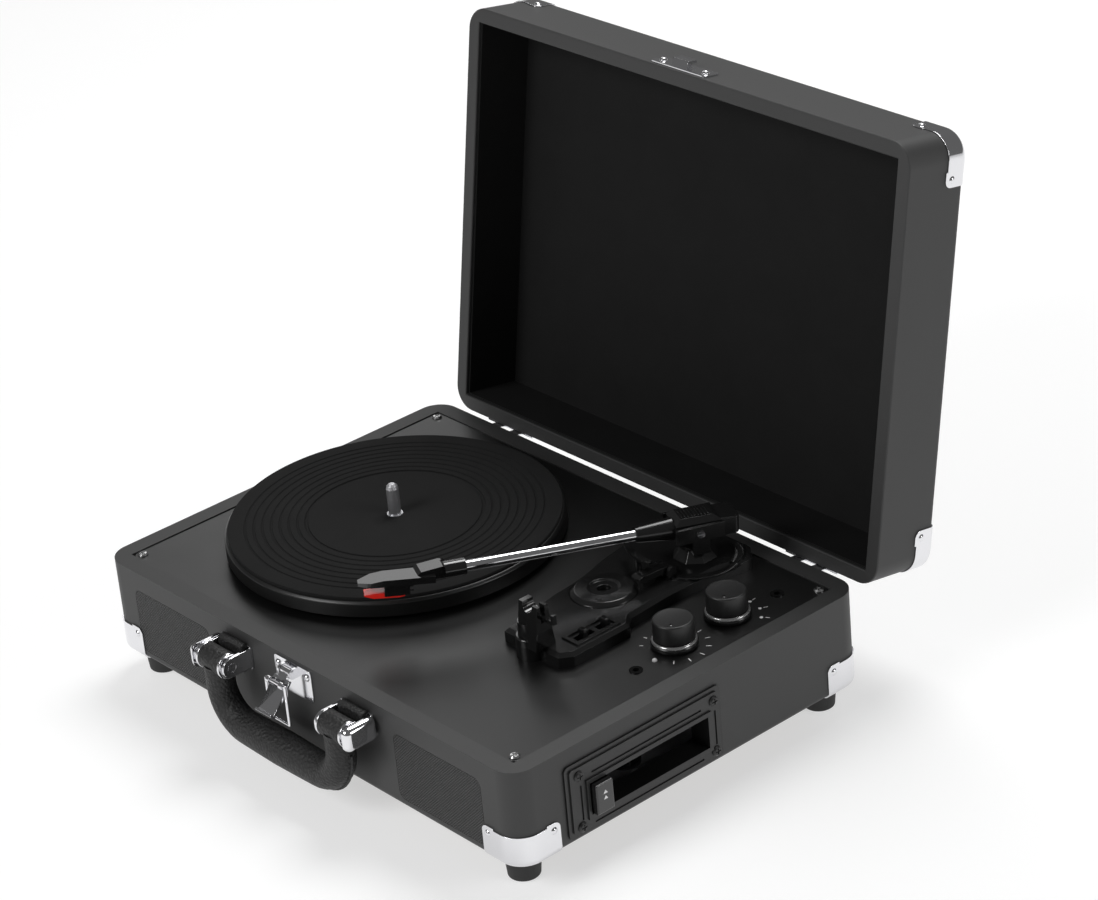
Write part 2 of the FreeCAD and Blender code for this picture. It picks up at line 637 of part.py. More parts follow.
def tonearm_plinth():
    block = bevel_level(plinth_block(0, DECK_Z, PLINTH_Z), PLINTH_Z, PLINTH_EDGE)
    hollow = plinth_block(PLINTH_WALL, DECK_Z - 1, PLINTH_Z - PLINTH_WALL)
    block = block.cut(hollow)
    frame = box(SWITCH_X0, SWITCH_X1, SWITCH_Y0, SWITCH_Y1, PLINTH_Z, PLINTH_Z + 1.0)
    frame = frame.cut(box(SWITCH_X0 + 2, SWITCH_X1 - 2, SWITCH_Y0 + 2, SWITCH_Y1 - 2, PLINTH_Z, PLINTH_Z + 2))
    boss = rod(PIVOT_X, PIVOT_Y, DECK_Z, 9.0, PLINTH_H)
    guide = rod(LIFT_X, LIFT_Y, DECK_Z, GUIDE_R, PLINTH_H)
    rest = rod(REST_X, REST_Y, DECK_Z, REST_R, PLINTH_H)
    block = fuse([block, frame, boss, guide, rest] + cue_ears())
    seat = rod(ADAPTOR_X, ADAPTOR_Y, PLINTH_Z - 1.2, ADAPTOR_R + 0.4, 5)
    slots = [slider_slot(SPEED_Y - SPEED_TRAVEL, SPEED_Y + SPEED_TRAVEL), slider_slot(STOP_Y - STOP_TRAVEL, STOP_Y)]
    block = cut(block, seat, *slots)
    block = cut(block, rod(PIVOT_X, PIVOT_Y, DECK_Z - 1, 5.0 + RUN_GAP, PLINTH_H + 2))
    block = cut(block, rod(LIFT_X, LIFT_Y, DECK_Z - 1, LIFT_R + RUN_GAP, PLINTH_H + 2))
    for inner, outer in ((27.0, 28.2), (30.0, 31.2)):
        sweep = rod(PIVOT_X, PIVOT_Y, PLINTH_Z - 0.6, outer, 2).cut(rod(PIVOT_X, PIVOT_Y, PLINTH_Z - 1, inner, 3))
        block = cut(block, sweep.common(box(100, 116.5, 50, 111, PLINTH_Z - 1, PLINTH_Z + 3)))
    return block


def adaptor_45():
    z = PLINTH_Z - 1.2
    disc = turned([(SPINDLE_R + 0.2, z), (ADAPTOR_R, z), (ADAPTOR_R, z + 1.6), (ADAPTOR_R - 2.5, z + 3.4),
                   (9.0, z + 4.0), (8.0, z + 3.0), (SPINDLE_R + 0.2, z + 3.0)], ADAPTOR_X, ADAPTOR_Y)
    return disc


def pivot_base():
    """Eight-sided tapered seat of the tonearm, with a bore for its stem."""
    low = [V(PIVOT_X + 13.5 * math.cos(a), PIVOT_Y + 13.5 * math.sin(a), PLINTH_Z) for a in octagon()]
    top = [V(PIVOT_X + 8.5 * math.cos(a), PIVOT_Y + 8.5 * math.sin(a), PLINTH_Z + 5.6) for a in octagon()]
    wires = [Part.makePolygon(ring + ring[:1]) for ring in (low, top)]
    body = Part.makeLoft(wires, True, True)
    return body.cut(rod(PIVOT_X, PIVOT_Y, PLINTH_Z - 1, 5.0 + RUN_GAP, 10))


def octagon():
    return [math.radians(22.5 + 45 * k) for k in range(8)]


# ---- tonearm, drawn along +X from its pivot and then turned into place ----
def arm_place(shape, tilted=True):
    if tilted:
        shape.rotate(V(0, 0, 0), V(0, 1, 0), -ARM_TILT)
    shape.rotate(V(0, 0, 0), V(0, 0, 1), ARM_AZ)
    shape.translate(V(PIVOT_X, PIVOT_Y, PIVOT_Z))
    return shape


def tonearm_yoke():
    low = PLINTH_Z + 6.0 - PIVOT_Z
    floor_t = 1.8
    outer = YOKE_HALF + YOKE_T
    floor = rod(0, 0, low, 9.0, floor_t)
    bridge = box(-5, 5, -outer, outer, low, low + floor_t)
    webs = [box(-5, 5, min(s * YOKE_HALF, s * outer), max(s * YOKE_HALF, s * outer), low, -4.0) for s in (-1, 1)]
    cheeks = [box(-14, 14, min(s * YOKE_HALF, s * outer), max(s * YOKE_HALF, s * outer), -4.5, 4.5) for s in (-1, 1)]
    stem = rod(0, 0, DECK_Z + 0.5 - PIVOT_Z, 5.0, low - (DECK_Z + 0.5 - PIVOT_Z))
    body = fuse([floor, bridge, stem] + webs + cheeks)
    for s in (-1, 1):
        body = cut(body, rod(0, s * (YOKE_HALF + 1) - 2, 0, 1.5, 4, "y"))
    return arm_place(body, False)


def pivot_screws():
    out = []
    for s in (-1, 1):
        pin = rod(0, YOKE_HALF - 2.2, 0, 1.5, YOKE_T + 2.2, "y")
        head = rod(0, YOKE_HALF + YOKE_T, 0, 2.2, 0.8, "y")
        slot = box(-2.5, 2.5, YOKE_HALF + YOKE_T + 0.4, YOKE_HALF + YOKE_T + 2, -0.35, 0.35)
        body = cut(fuse([pin, head]), slot)
        if s < 0:
            body = body.mirror(V(0, 0, 0), V(0, 1, 0))
        out.append(body)
    return arm_place(group(out), False)


def arm_housing():
    half = YOKE_HALF - 1.2
    side = [(-24, -4.5), (-10, -5.5), (12, -5.5), (COLLAR_NEAR, -4.5), (COLLAR_NEAR, 5.0), (9.5, 8.0),
            (-9.5, 8.0), (-13, 5.5), (-24, 5.5)]
    wire = Part.makePolygon([V(x, -half, z) for x, z in side + side[:1]])
    body = Part.Face(wire).extrude(V(0, 2 * half, 0))
    long_top = [e for e in body.Edges if is_along(e, "x") and e.BoundBox.ZMin > 7.9]
    body = body.makeChamfer(3.0, long_top)
    tail = [e for e in body.Edges if is_along(e, "z") and e.BoundBox.XMax < -23.9]
    body = body.makeFillet(3.0, tail)
    body = body.cut(rod(0, -half - 1, 0, 1.5 + RUN_GAP, 2.2, "y"))
    body = body.cut(rod(0, half - 1.2, 0, 1.5 + RUN_GAP, 2.2, "y"))
    return arm_place(body)


def arm_collar():
    body = cone(COLLAR_NEAR, 0, 0, 6.6, 4.5, COLLAR_FAR - COLLAR_NEAR, "x")
    body = body.common(box(COLLAR_NEAR, COLLAR_FAR, -8, 8, -5.6, 8))
    return arm_place(body.cut(rod(COLLAR_NEAR - 1, 0, 0, TUBE_R, 40, "x")))


def arm_tube():
    length = SHELL_NEAR + 5 - COLLAR_NEAR
    body = rod(COLLAR_NEAR, 0, 0, TUBE_R, length, "x").cut(rod(COLLAR_NEAR - 1, 0, 0, TUBE_BORE, length + 2, "x"))
    return arm_place(body)


def headshell():
    socket = rod(SHELL_NEAR, 0, 0, 4.8, 12, "x").cut(rod(SHELL_NEAR - 1, 0, 0, TUBE_R, 6, "x"))
    low = SHELL_TOP - SHELL_T
    side = [(141, low), (141, 2.6), (144, 3.4), (156, 2.2), (158, SHELL_TOP), (158, low)]
    wire = Part.makePolygon([V(x, -8.0, z) for x, z in side + side[:1]])
    bracket = Part.Face(wire).extrude(V(0, 10.0, 0))
    plan = [(148, -6.3), (148, 6.3), (183, 5.8), (SHELL_FAR, 2.0), (SHELL_FAR, -2.0), (183, -5.8)]
    shell = prism(plan, low, SHELL_TOP)
    nose = side_cut([(176, SHELL_TOP), (SHELL_FAR + 1, SHELL_TOP), (SHELL_FAR + 1, SHELL_TOP - 2.2)])
    shell = cut(shell, nose)
    shell.rotate(V(148, 0, 0), V(0, 0, 1), -SHELL_OFFSET)
    return arm_place(fuse([socket, bracket, shell]))


def side_cut(points):
    wire = Part.makePolygon([V(x, -20, z) for x, z in points + points[:1]])
    return Part.Face(wire).extrude(V(0, 40, 0))


def in_shell(shape):
    shape.rotate(V(148, 0, 0), V(0, 0, 1), -SHELL_OFFSET)
    return arm_place(shape)


def cartridge():
    top = SHELL_TOP - SHELL_T
    body = box(162, 176, -4.2, 4.2, top - CARTRIDGE_H, top)
    pins = [box(160.0, 162, y - 0.4, y + 0.4, top - d - 0.4, top - d + 0.4) for y in (-2.4, 2.4) for d in (2.4, 5.0)]
    return in_shell(fuse([body] + pins))


def stylus():
    top = SHELL_TOP - SHELL_T - CARTRIDGE_H
    outline = [(165, top), (176, top), (176, top + 2.2), (187, top + 1.8), (187, top + 1.0), (182, top - 0.8),
               (168, top - 1.3), (165, top - 0.8)]
    wire = Part.makePolygon([V(x, -3.6, z) for x, z in outline + outline[:1]])
    guard = Part.Face(wire).extrude(V(0, 7.2, 0))
    needle = cone(180, 0, -STYLUS_DROP, 0.15, 0.7, STYLUS_DROP + top - 0.6)
    return in_shell(fuse([guard, needle]))


# ---- arm rest, cue lift, switches ----
def arm_rest():
    z = PLINTH_Z
    foot = rod(REST_X, REST_Y, z, REST_R, 4.5)
    foot = round_level(foot, z + 4.5, 1.0)
    post = rod(REST_X, REST_Y, z + 3.5, REST_R - 1.9, 9.5)
    blade = side_prism([(REST_Y - 7, z), (REST_Y + 7, z), (REST_Y + 3.5, FORK_TOP), (REST_Y - 3.5, FORK_TOP)],
                       REST_X - 3.0, REST_X + 12.0)
    groove_z = PARK_TUBE_Z
    groove = rod(PARK_X, REST_Y - 20, groove_z, TUBE_R + 0.5, 40, "y")
    mouth = box(PARK_X - TUBE_R - 0.5, PARK_X + TUBE_R + 0.5, REST_Y - 20, REST_Y + 20, groove_z, FORK_TOP + 1)
    body = fuse([foot, post, blade])
    gap = CLIP_HALF + LOOSE
    body = cut(body, groove, mouth, box(CLIP_X - 3, CLIP_X + 5, REST_Y - gap, REST_Y + gap, CLIP_Z - 3, FORK_TOP + 1))
    return fuse([body, rod(CLIP_X, REST_Y - 2.6, CLIP_Z, CLIP_PIN_R, 5.2, "y")])


def arm_clip():
    """Hook that swings over the parked tube, modelled swung aside."""
    low = REST_Y - CLIP_HALF
    high = REST_Y + CLIP_HALF
    barrel = rod(CLIP_X, low, CLIP_Z, 1.9, 2 * CLIP_HALF, "y")
    stalk = box(CLIP_X, CLIP_X + 12, low, high, CLIP_Z - 1.0, CLIP_Z + 1.2)
    hook = box(CLIP_X + 10, CLIP_X + 12, low, high, CLIP_Z - 1.0, CLIP_Z + 5.0)
    return fuse([barrel, stalk, hook]).cut(rod(CLIP_X, REST_Y - 4, CLIP_Z, CLIP_PIN_R + RUN_GAP, 8, "y"))


def lift_bar():
    """Cue lift: a stem with an arc-shaped platform below the arm tube."""
    low = LIFT_TOP - LIFT_T
    stem = rod(LIFT_X, LIFT_Y, DECK_Z + 0.5, LIFT_R, low - DECK_Z - 0.5)
    ring = rod(PIVOT_X, PIVOT_Y, low, LIFT_REACH + LIFT_HALF, LIFT_T)
    ring = ring.cut(rod(PIVOT_X, PIVOT_Y, low - 1, LIFT_REACH - LIFT_HALF, LIFT_T + 2))
    sector = prism([(PIVOT_X, PIVOT_Y), (PIVOT_X - 50, PIVOT_Y - 50), (PIVOT_X - 6, PIVOT_Y - 70),
                    (PIVOT_X + 8, PIVOT_Y - 70)], low - 1, LIFT_TOP + 1)
    return fuse([stem, ring.common(sector)])


def cue_lever():
    z = PLINTH_Z + CUE_RISE
    hub = rod(CUE_X - 3.5, CUE_Y, z, 2.8, 7.0, "x")
    blade = side_prism([(CUE_Y, z - 1.4), (CUE_Y, z + 2.8), (CUE_Y - 6, z + 3.6), (CUE_Y - CUE_L, z + 4.4),
                        (CUE_Y - CUE_L - 2, z + 3.4), (CUE_Y - CUE_L - 2, z + 1.6), (CUE_Y - CUE_L, z + 0.8)],
                       CUE_X - 3.5, CUE_X + 3.5)
    return fuse([hub, blade]).cut(rod(CUE_X - 8, CUE_Y, z, CUE_PIN_R + RUN_GAP, 16, "x"))


def cue_ears():
    """Two ears and the pin of the cue lever, moulded with the plinth."""
    z = PLINTH_Z
    pin = rod(CUE_X - 6, CUE_Y, z + CUE_RISE, CUE_PIN_R, 12, "x")
    ears = []
    for x in (CUE_X - 6.0, CUE_X + 4.0):
        ears += [box(x, x + 2, CUE_Y - 3, CUE_Y + 3, z, z + CUE_RISE), rod(x, CUE_Y, z + CUE_RISE, 3, 2, "x")]
    return ears + [pin]


def slider(y):
    half = SLIDER_W / 2
    stem = box(SLIDER_X - half, SLIDER_X + half, y - half, y + half, DECK_Z + 1, PLINTH_Z + 2.6)
    thumb = box(SLIDER_X - 2.6, SLIDER_X + 2.6, y - 1.7, y + 1.7, PLINTH_Z + 1.4, PLINTH_Z + 4.2)
    return fuse([stem, bevel_level(thumb, PLINTH_Z + 4.2, 0.6)])


# ---- knobs and sockets ----
def knob(y):
    z = DECK_Z + KNOB_LIFT
    skirt = turned([(0, z), (KNOB_SKIRT_R, z), (KNOB_SKIRT_R, z + 2.6), (KNOB_SKIRT_R - 1.0, z + KNOB_SKIRT_H),
                    (KNOB_R + 0.3, z + KNOB_SKIRT_H), (KNOB_R, z + KNOB_H - 0.9), (KNOB_R - 0.9, z + KNOB_H),
                    (0, z + KNOB_H)], KNOB_X, y)
    dimple = Part.makeSphere(1.6, V(KNOB_X + 6.0, y - 6.5, z + KNOB_H + 0.9))
    return cut(skirt, rod(KNOB_X, y, z - 1, SHAFT_R, 12.0), dimple)


def knob_shaft(y):
    z = DECK_UNDER - 4.0
    shaft = rod(KNOB_X, y, z, SHAFT_R, DECK_Z + KNOB_LIFT + 11.0 - z)
    return shaft


def panel_controls():
    """Potentiometer and selector switch bodies under the deck, bored for the knob shafts."""
    out = []
    for y in (VOLUME_Y, FUNCTION_Y):
        body = rod(KNOB_X, y, DECK_UNDER - 11.0, 8.4, 11.0)
        lugs = box(KNOB_X - 4, KNOB_X + 4, y - 11.5, y, DECK_UNDER - 11.0, DECK_UNDER - 9.5)
        out.append(fuse([body, lugs]).cut(rod(KNOB_X, y, DECK_UNDER - 6.0, SHAFT_R + RUN_GAP, 8)))
    return group(out)


def knob_with_shaft(y):
    return fuse([knob(y), knob_shaft(y)])


def input_jacks():
    out = []
    for y in (PHONE_JACK_Y, LINE_JACK_Y):
        body = box(JACK_X - 4, JACK_X + 4, y - 4, y + 4, DECK_UNDER - JACK_BODY, DECK_UNDER)
        neck = rod(JACK_X, y, DECK_UNDER, 2.9, DECK_T)
        ring = rod(JACK_X, y, DECK_Z, 3.8, 0.7)
        out.append(fuse([body, neck, ring]).cut(rod(JACK_X, y, DECK_UNDER - JACK_BODY + 2, JACK_R, 30)))
    return group(out)


def power_led():
    lens = fuse([rod(JACK_X, LED_Y, DECK_UNDER - 3, 1.45, DECK_T + 3), rod(JACK_X, LED_Y, DECK_UNDER - 4, 1.9, 3)])
    dome = Part.makeSphere(1.45, V(JACK_X, LED_Y, DECK_Z)).common(rod(JACK_X, LED_Y, DECK_Z, 2, 2))
    return fuse([lens, dome])


# ---- cassette ----
def bezel_screw_places():
    return [(y, z) for y in (BEZEL_Y0 + 8.5, BEZEL_Y1 - 6.0) for z in (BEZEL_Z0 + 5.5, BEZEL_Z1 - 7.5)]


def slot_block(grow, x0, x1):
    """Block round the slot and its eject key, grown by a wall."""
    return box(x0, x1, KEY_Y0 - grow, SLOT_Y1 + grow, SLOT_Z0 - grow, SLOT_Z1 + grow)


def side_plate(grow, x0, x1, r):
    plate = box(x0, x1, BEZEL_Y0 - grow, BEZEL_Y1 + grow, BEZEL_Z0 - grow, BEZEL_Z1 + grow)
    return plate.makeFillet(r, [e for e in plate.Edges if is_along(e, "x")])


def cassette_bezel():
    x = HALF_W
    step = side_plate(0, x, x + BEZEL_SKIN, 3.0)
    face = side_plate(-2.6, x, x + BEZEL_FACE, 2.0)
    grow = BEZEL_LIP
    lip = box(x, x + BEZEL_FACE + 1.0, KEY_Y0 - grow, SLOT_Y1 + grow, SLOT_Z0 - grow, SLOT_Z1 + grow)
    collar = slot_block(COLLAR_WALL, x - WALL_T, x)
    body = fuse([step, face, lip, collar])
    window = box(x - WALL_T - 1, x + 9, KEY_Y0 - 0.6, SLOT_Y1, SLOT_Z0, SLOT_Z1)
    grooves = [box(x + BEZEL_FACE - 0.8, x + 9, KEY_Y0 + 2, SLOT_Y1 - 4, z, z + 1.2) for z in (SLOT_Z0 - 6.4, SLOT_Z1 + 5.0)]
    grooves += [box(x + BEZEL_FACE - 0.8, x + 9, y, y + 1.2, SLOT_Z0 - 1, SLOT_Z1 + 1) for y in (KEY_Y0 - 6.6, SLOT_Y1 + 5.2)]
    body = cut(body, window, *grooves)
    for y, z in bezel_screw_places():
        body = cut(body, rod(x - 1, y, z, SCREW_R + SCREW_GAP, 9, "x"))
    return body


def eject_key():
    x = HALF_W + BEZEL_FACE + 1.0
    cap = box(x - 10, x + 4.2, KEY_Y0, KEY_Y1, SLOT_Z0 + 0.6, SLOT_Z1 - 0.6)
    cap = cap.makeFillet(1.0, [e for e in cap.Edges if e.BoundBox.XMin > x + 4.1])
    stem = box(x - 30, x - 10, KEY_Y0 + 3, KEY_Y1 - 3, SLOT_Z0 + 5, SLOT_Z0 + 9)
    return fuse([cap, stem])


def cassette_chassis():
    """Folded tray behind the slot that takes a whole cassette."""
    x1 = HALF_W - WALL_T - 0.2
    x0 = HALF_W - CASSETTE_L - 6
    y0, y1 = KEY_Y0 - 4.0, SLOT_Y1 + 2.0
    z0, z1 = SLOT_Z0 - 8.0, SLOT_Z1 + 2.0
    t = 1.2
    tray = box(x0, x1, y0, y1, z0, z1).cut(box(x0 + t, x1 + 1, y0 + t, y1 - t, z0 + t, z1 + 1))
    rail = box(x0 + t, x1, KEY_Y1 + 1.0, KEY_Y1 + 2.0, z0 + t, z1)
    tray = fuse([tray, rail])
    for x in hub_places():
        tray = cut(tray, rod(x, HUB_Y, z0 - 1, 2.0 + RUN_GAP, 4))
    return tray


def hub_places():
    middle = HALF_W - CASSETTE_L / 2
    return (middle - HUB_PITCH / 2, middle + HUB_PITCH / 2)


def cassette_hub(x):
    z = SLOT_Z0 - 8.0
    axle = rod(x, HUB_Y, z - 1.6, 2.0, 4.2)
    wheel = rod(x, HUB_Y, z + 1.6, 9.0, 1.8)
    crown = rod(x, HUB_Y, z + 3.4, 2.9, 3.4)
    vanes = []
    for k in range(3):
        vane = box(x, x + 4.0, HUB_Y - 0.5, HUB_Y + 0.5, z + 3.4, z + 6.4)
        vane.rotate(V(x, HUB_Y, 0), V(0, 0, 1), 120 * k)
        vanes.append(vane)
    return fuse([axle, wheel, crown] + vanes)


# ---- electronics and rear sockets ----
def main_board():
    z = FOOT_H + BOTTOM_T + 6
    board = box(BOARD_X0, BOARD_X1, BOARD_Y0, BOARD_Y1, z, z + 1.6)
    legs = [rod(x, y, FOOT_H + BOTTOM_T, 3, 6) for x in (BOARD_X0 + 6, BOARD_X1 - 6)
            for y in (BOARD_Y0 + 6, BOARD_Y1 - 6)]
    parts = [box(BOARD_X0 + 30, BOARD_X0 + 52, BOARD_Y0 + 26, BOARD_Y0 + 40, z + 1.6, z + 5),
             box(BOARD_X0 + 12, BOARD_X0 + 40, BOARD_Y0 + 48, BOARD_Y0 + 54, z + 1.6, z + 16)]
    parts += [rod(BOARD_X0 + 64 + 10 * k, BOARD_Y0 + 22, z + 1.6, 4, 11) for k in range(3)]
    return fuse([board] + legs + parts)


def rear_panel():
    y = HALF_D
    plate = box(REAR_X0 - 5, REAR_X1 + 5, y, y + 1.5, REAR_Z0 - 5, REAR_Z1 + 5)
    plate = plate.makeFillet(3.0, [e for e in plate.Edges if is_along(e, "y")])
    for x in socket_places():
        plate = cut(plate, rod(x, y - 1, REAR_MID_Z, SOCKET_R + SCREW_GAP, 4, "y"))
    return plate


def socket_places():
    return (REAR_X0 + 14, REAR_X0 + 34, REAR_X1 - 14)


def rear_sockets():
    """Two line-out sockets and the power inlet."""
    out = []
    y = HALF_D
    for x in socket_places()[:2]:
        body = fuse([rod(x, y - 9, REAR_MID_Z, SOCKET_R, 10.5, "y"), rod(x, y, REAR_MID_Z, PHONO_R, PHONO_L, "y")])
        body = body.cut(rod(x, y, REAR_MID_Z, 1.6, 12, "y"))
        out.append(body)
    x = socket_places()[2]
    inlet = rod(x, y - 9, REAR_MID_Z, SOCKET_R, 11, "y").cut(rod(x, y - 7, REAR_MID_Z, 2.9, 12, "y"))
    out.append(fuse([inlet, rod(x, y - 8, REAR_MID_Z, 1.0, 8.5, "y")]))
    return group(out)


# ---- handle ----
def handle_brackets():
    y = -HALF_D
    x0, x1 = HANDLE_X - HANDLE_HALF, HANDLE_X + HANDLE_HALF
    foot = box(x0, x1, y - 1.5, y, HANDLE_Z - 7, HANDLE_Z + 7)
    parts = [foot]
    for x in (x0, x1 - EAR_T):
        web = box(x, x + EAR_T, HANDLE_Y, y, HANDLE_Z - 6, HANDLE_Z + 6)
        parts.append(fuse([web, rod(x, HANDLE_Y, HANDLE_Z, 6, EAR_T, "x")]))
    body = fuse(parts).cut(rod(x0 - 1, HANDLE_Y, HANDLE_Z, HANDLE_PIN_R, 2 * HANDLE_HALF + 2, "x"))
    return group([body, mirrored_x(body)])


def handle_pins():
    pin = rod(HANDLE_X - HANDLE_HALF, HANDLE_Y, HANDLE_Z, HANDLE_PIN_R, 2 * HANDLE_HALF, "x")
    return group([pin, mirrored_x(pin)])


def handle_grip():
    low = HANDLE_Z - GRIP_DROP
    x = HANDLE_X
    bend = GRIP_BEND
    s = math.sqrt(0.5)
    y = HANDLE_Y
    start = V(-x, y, HANDLE_Z)
    p1, p2 = V(-x, y, low + bend), V(-x + bend, y, low)
    p3, p4 = V(x - bend, y, low), V(x, y, low + bend)
    end = V(x, y, HANDLE_Z)
    m1 = V(-x + bend * (1 - s), y, low + bend * (1 - s))
    m2 = V(x - bend * (1 - s), y, low + bend * (1 - s))
    path = Part.Wire([Part.LineSegment(start, p1).toShape(), Part.Arc(p1, m1, p2).toShape(),
                      Part.LineSegment(p2, p3).toShape(), Part.Arc(p3, m2, p4).toShape(),
                      Part.LineSegment(p4, end).toShape()])
    ring = Part.Wire([Part.Circle(start, V(0, 0, 1), GRIP_R).toShape()])
    tube = path.makePipeShell([ring], True, False)
    barrel_half = HANDLE_HALF - EAR_T - 0.4
    ends = [rod(s * x - barrel_half, y, HANDLE_Z, 7.4, 2 * barrel_half, "x") for s in (-1, 1)]
    body = fuse([tube] + ends)
    trim = [box(s * x - 14, s * x + 14, y - 14, y + 14, HANDLE_Z, HANDLE_Z + 12) for s in (-1, 1)]
    body = fuse([cut(body, *trim)] + ends)
    return body.cut(rod(-x - 20, y, HANDLE_Z, HANDLE_PIN_R + RUN_GAP, 2 * x + 40, "x"))


# ---- latch ----
def latch_plate():
    y = -HALF_D
    x0, x1 = LATCH_X - LATCH_W / 2, LATCH_X + LATCH_W / 2
    plate = box(x0, x1, y - PLATE_T, y, LATCH_Z0, LATCH_Z1)
    plate = plate.makeFillet(2.0, [e for e in plate.Edges if is_along(e, "y")])
    ear_x = LEVER_W / 2 - 1.5
    ears = []
    for x in (LATCH_X - ear_x, LATCH_X + ear_x - 1.2):
        ears.append(box(x, x + 1.2, LEVER_Y, y, LEVER_Z - 3, LEVER_Z + 3))
        ears.append(rod(x, LEVER_Y, LEVER_Z, 3, 1.2, "x"))
    pin = rod(LATCH_X - ear_x, LEVER_Y, LEVER_Z, 1.0, 2 * ear_x, "x")
    rivets = []
    for s in (-1, 1):
        head = Part.makeSphere(2.4, V(LATCH_X + s * (LATCH_W / 2 - 3.6), y - 0.2, LATCH_Z1 - 4.5))
        rivets.append(head.common(box(-60, 60, y - 5, y - 0.5, 0, 200)))
    return fuse([plate] + ears + [pin] + rivets)


def latch_lever():
    """Drawn hanging straight down and then swung out from the front."""
    y, z = LEVER_Y, LEVER_Z
    half = LEVER_W / 2
    neck = half - 1.5 - 1.2 - LOOSE
    parts = [rod(LATCH_X - neck, y, z, 2.1, 2 * neck, "x"),
             box(LATCH_X - neck, LATCH_X + neck, y - 1.6, y, z - 5, z),
             box(LATCH_X - half, LATCH_X + half, y - 1.6, y, z - LEVER_L, z - 4),
             box(LATCH_X - half, LATCH_X + half, y - 4.0, y, z - LEVER_L, z - LEVER_L + 1.5)]
    for s in (-1, 1):
        x = LATCH_X + s * (half - 1.3)
        parts.append(box(x - 1.2, x + 1.2, y - BAIL_OUT, y, z - BAIL_DOWN - 2, z - BAIL_DOWN + 2))
        parts.append(rod(x - 1.2, y - BAIL_OUT, z - BAIL_DOWN, 2, 2.4, "x"))
    body = fuse(parts)
    body = body.cut(rod(LATCH_X - 12, y, z, 1.0 + RUN_GAP, 24, "x"))
    body = body.cut(rod(LATCH_X - 12, y - BAIL_OUT, z - BAIL_DOWN, BAIL_R + RUN_GAP, 24, "x"))
    body.rotate(V(0, LEVER_Y, LEVER_Z), V(1, 0, 0), -LEVER_HANG)
    return body


def bail_axis(hang):
    """Where the bail's pin lies when the lever stands out by an angle."""
    turn = math.radians(hang)
    return (LEVER_Y - BAIL_OUT * math.cos(turn) - BAIL_DOWN * math.sin(turn),
            LEVER_Z + BAIL_OUT * math.sin(turn) - BAIL_DOWN * math.cos(turn))


def bail_length():
    """From the bail's pin on the shut lever to the wire's seat behind the hook of the shut lid."""
    y, z = bail_axis(LEVER_CLOSED)
    seat_y = (-HALF_D - PLATE_T - HALF_D - HOOK_OUT + HOOK_T) / 2
    return math.hypot(seat_y - y, HOOK_Z + BAIL_R + LOOSE - z)


def latch_bail():
    """Closed wire loop that hangs from the lever."""
    y, z = bail_axis(LEVER_HANG)
    half = BAIL_W / 2
    drop = bail_length()
    top = rod(LATCH_X - half, y, z, BAIL_R, 2 * half, "x")
    low = rod(LATCH_X - half, y, z - drop, BAIL_R, 2 * half, "x")
    sides = [rod(LATCH_X + s * half, y, z - drop, BAIL_R, drop) for s in (-1, 1)]
    balls = [Part.makeSphere(BAIL_R, V(LATCH_X + s * half, y, z - k)) for s in (-1, 1) for k in (0, drop)]
    return fuse([top, low] + sides + balls)


# ---- hinges ----
def knuckles(first):
    """Every second knuckle of one hinge: first is 0 for the base leaf and 1 for the lid leaf."""
    pitch = HINGE_L / 5
    out = []
    for k in range(first, 5, 2):
        x = HINGE_X - HINGE_L / 2 + k * pitch + KNUCKLE_SPLIT / 2
        out.append((x, x + pitch - KNUCKLE_SPLIT))
    return out


def hinge_leaf(first, up):
    """One leaf with its knuckles, beside the back face of the closed case."""
    y = HALF_D
    x0, x1 = HINGE_X - HINGE_L / 2, HINGE_X + HINGE_L / 2
    edge = HINGE_Z + (LEAF_AWAY if up else -LEAF_AWAY)
    far = (LID_Z if up else RIM_Z) + (LEAF_H if up else -LEAF_H)
    near = LID_Z + 0.6 if up else edge
    plate = box(x0, x1, y, y + LEAF_T, min(near, far), max(near, far))
    parts = [plate]
    for a, b in knuckles(first):
        tab_y0 = y + 0.15
        z0, z1 = sorted((edge, near)) if up else (edge - 1, edge)
        if up:
            parts.append(box(a, b, tab_y0, y + LEAF_T, z0 - 0.2, z1 + 1))
        parts.append(box(a, b, tab_y0, HINGE_Y, edge - (0.2 if up else 0.6), edge + (0.6 if up else 0.2)))
        parts.append(rod(a, HINGE_Y, HINGE_Z, KNUCKLE_R, b - a, "x"))
    body = fuse(parts)
    return body.cut(rod(x0 - 1, HINGE_Y, HINGE_Z, HINGE_PIN_R + HINGE_GAP, HINGE_L + 2, "x"))


def hinge_base_leaves():
    leaf = hinge_leaf(0, False)
    return group([leaf, mirrored_x(leaf)])


def hinge_pins():
    pin = rod(HINGE_X - HINGE_L / 2, HINGE_Y, HINGE_Z, HINGE_PIN_R, HINGE_L, "x")
    return group([pin, mirrored_x(pin)])


# ---- lid, drawn closed and then swung open ----
def opened(shape):
    shape.rotate(V(0, HINGE_Y, HINGE_Z), V(1, 0, 0), -LID_OPEN)
    return shape


def lid_block():
    block = rounded(-HALF_W, HALF_W, -HALF_D, HALF_D, LID_Z, LID_Z + LID_H, CORNER_R)
    return round_level(block, LID_Z + LID_H, EDGE_R)


def lid_shell():
    inner = box(-HALF_W + LID_WALL_T, HALF_W - LID_WALL_T, -HALF_D + LID_WALL_T, HALF_D - LID_WALL_T, LID_Z - 1,
                LID_Z + LID_H - LID_ROOF_T)
    return opened(lid_block().cut(inner))


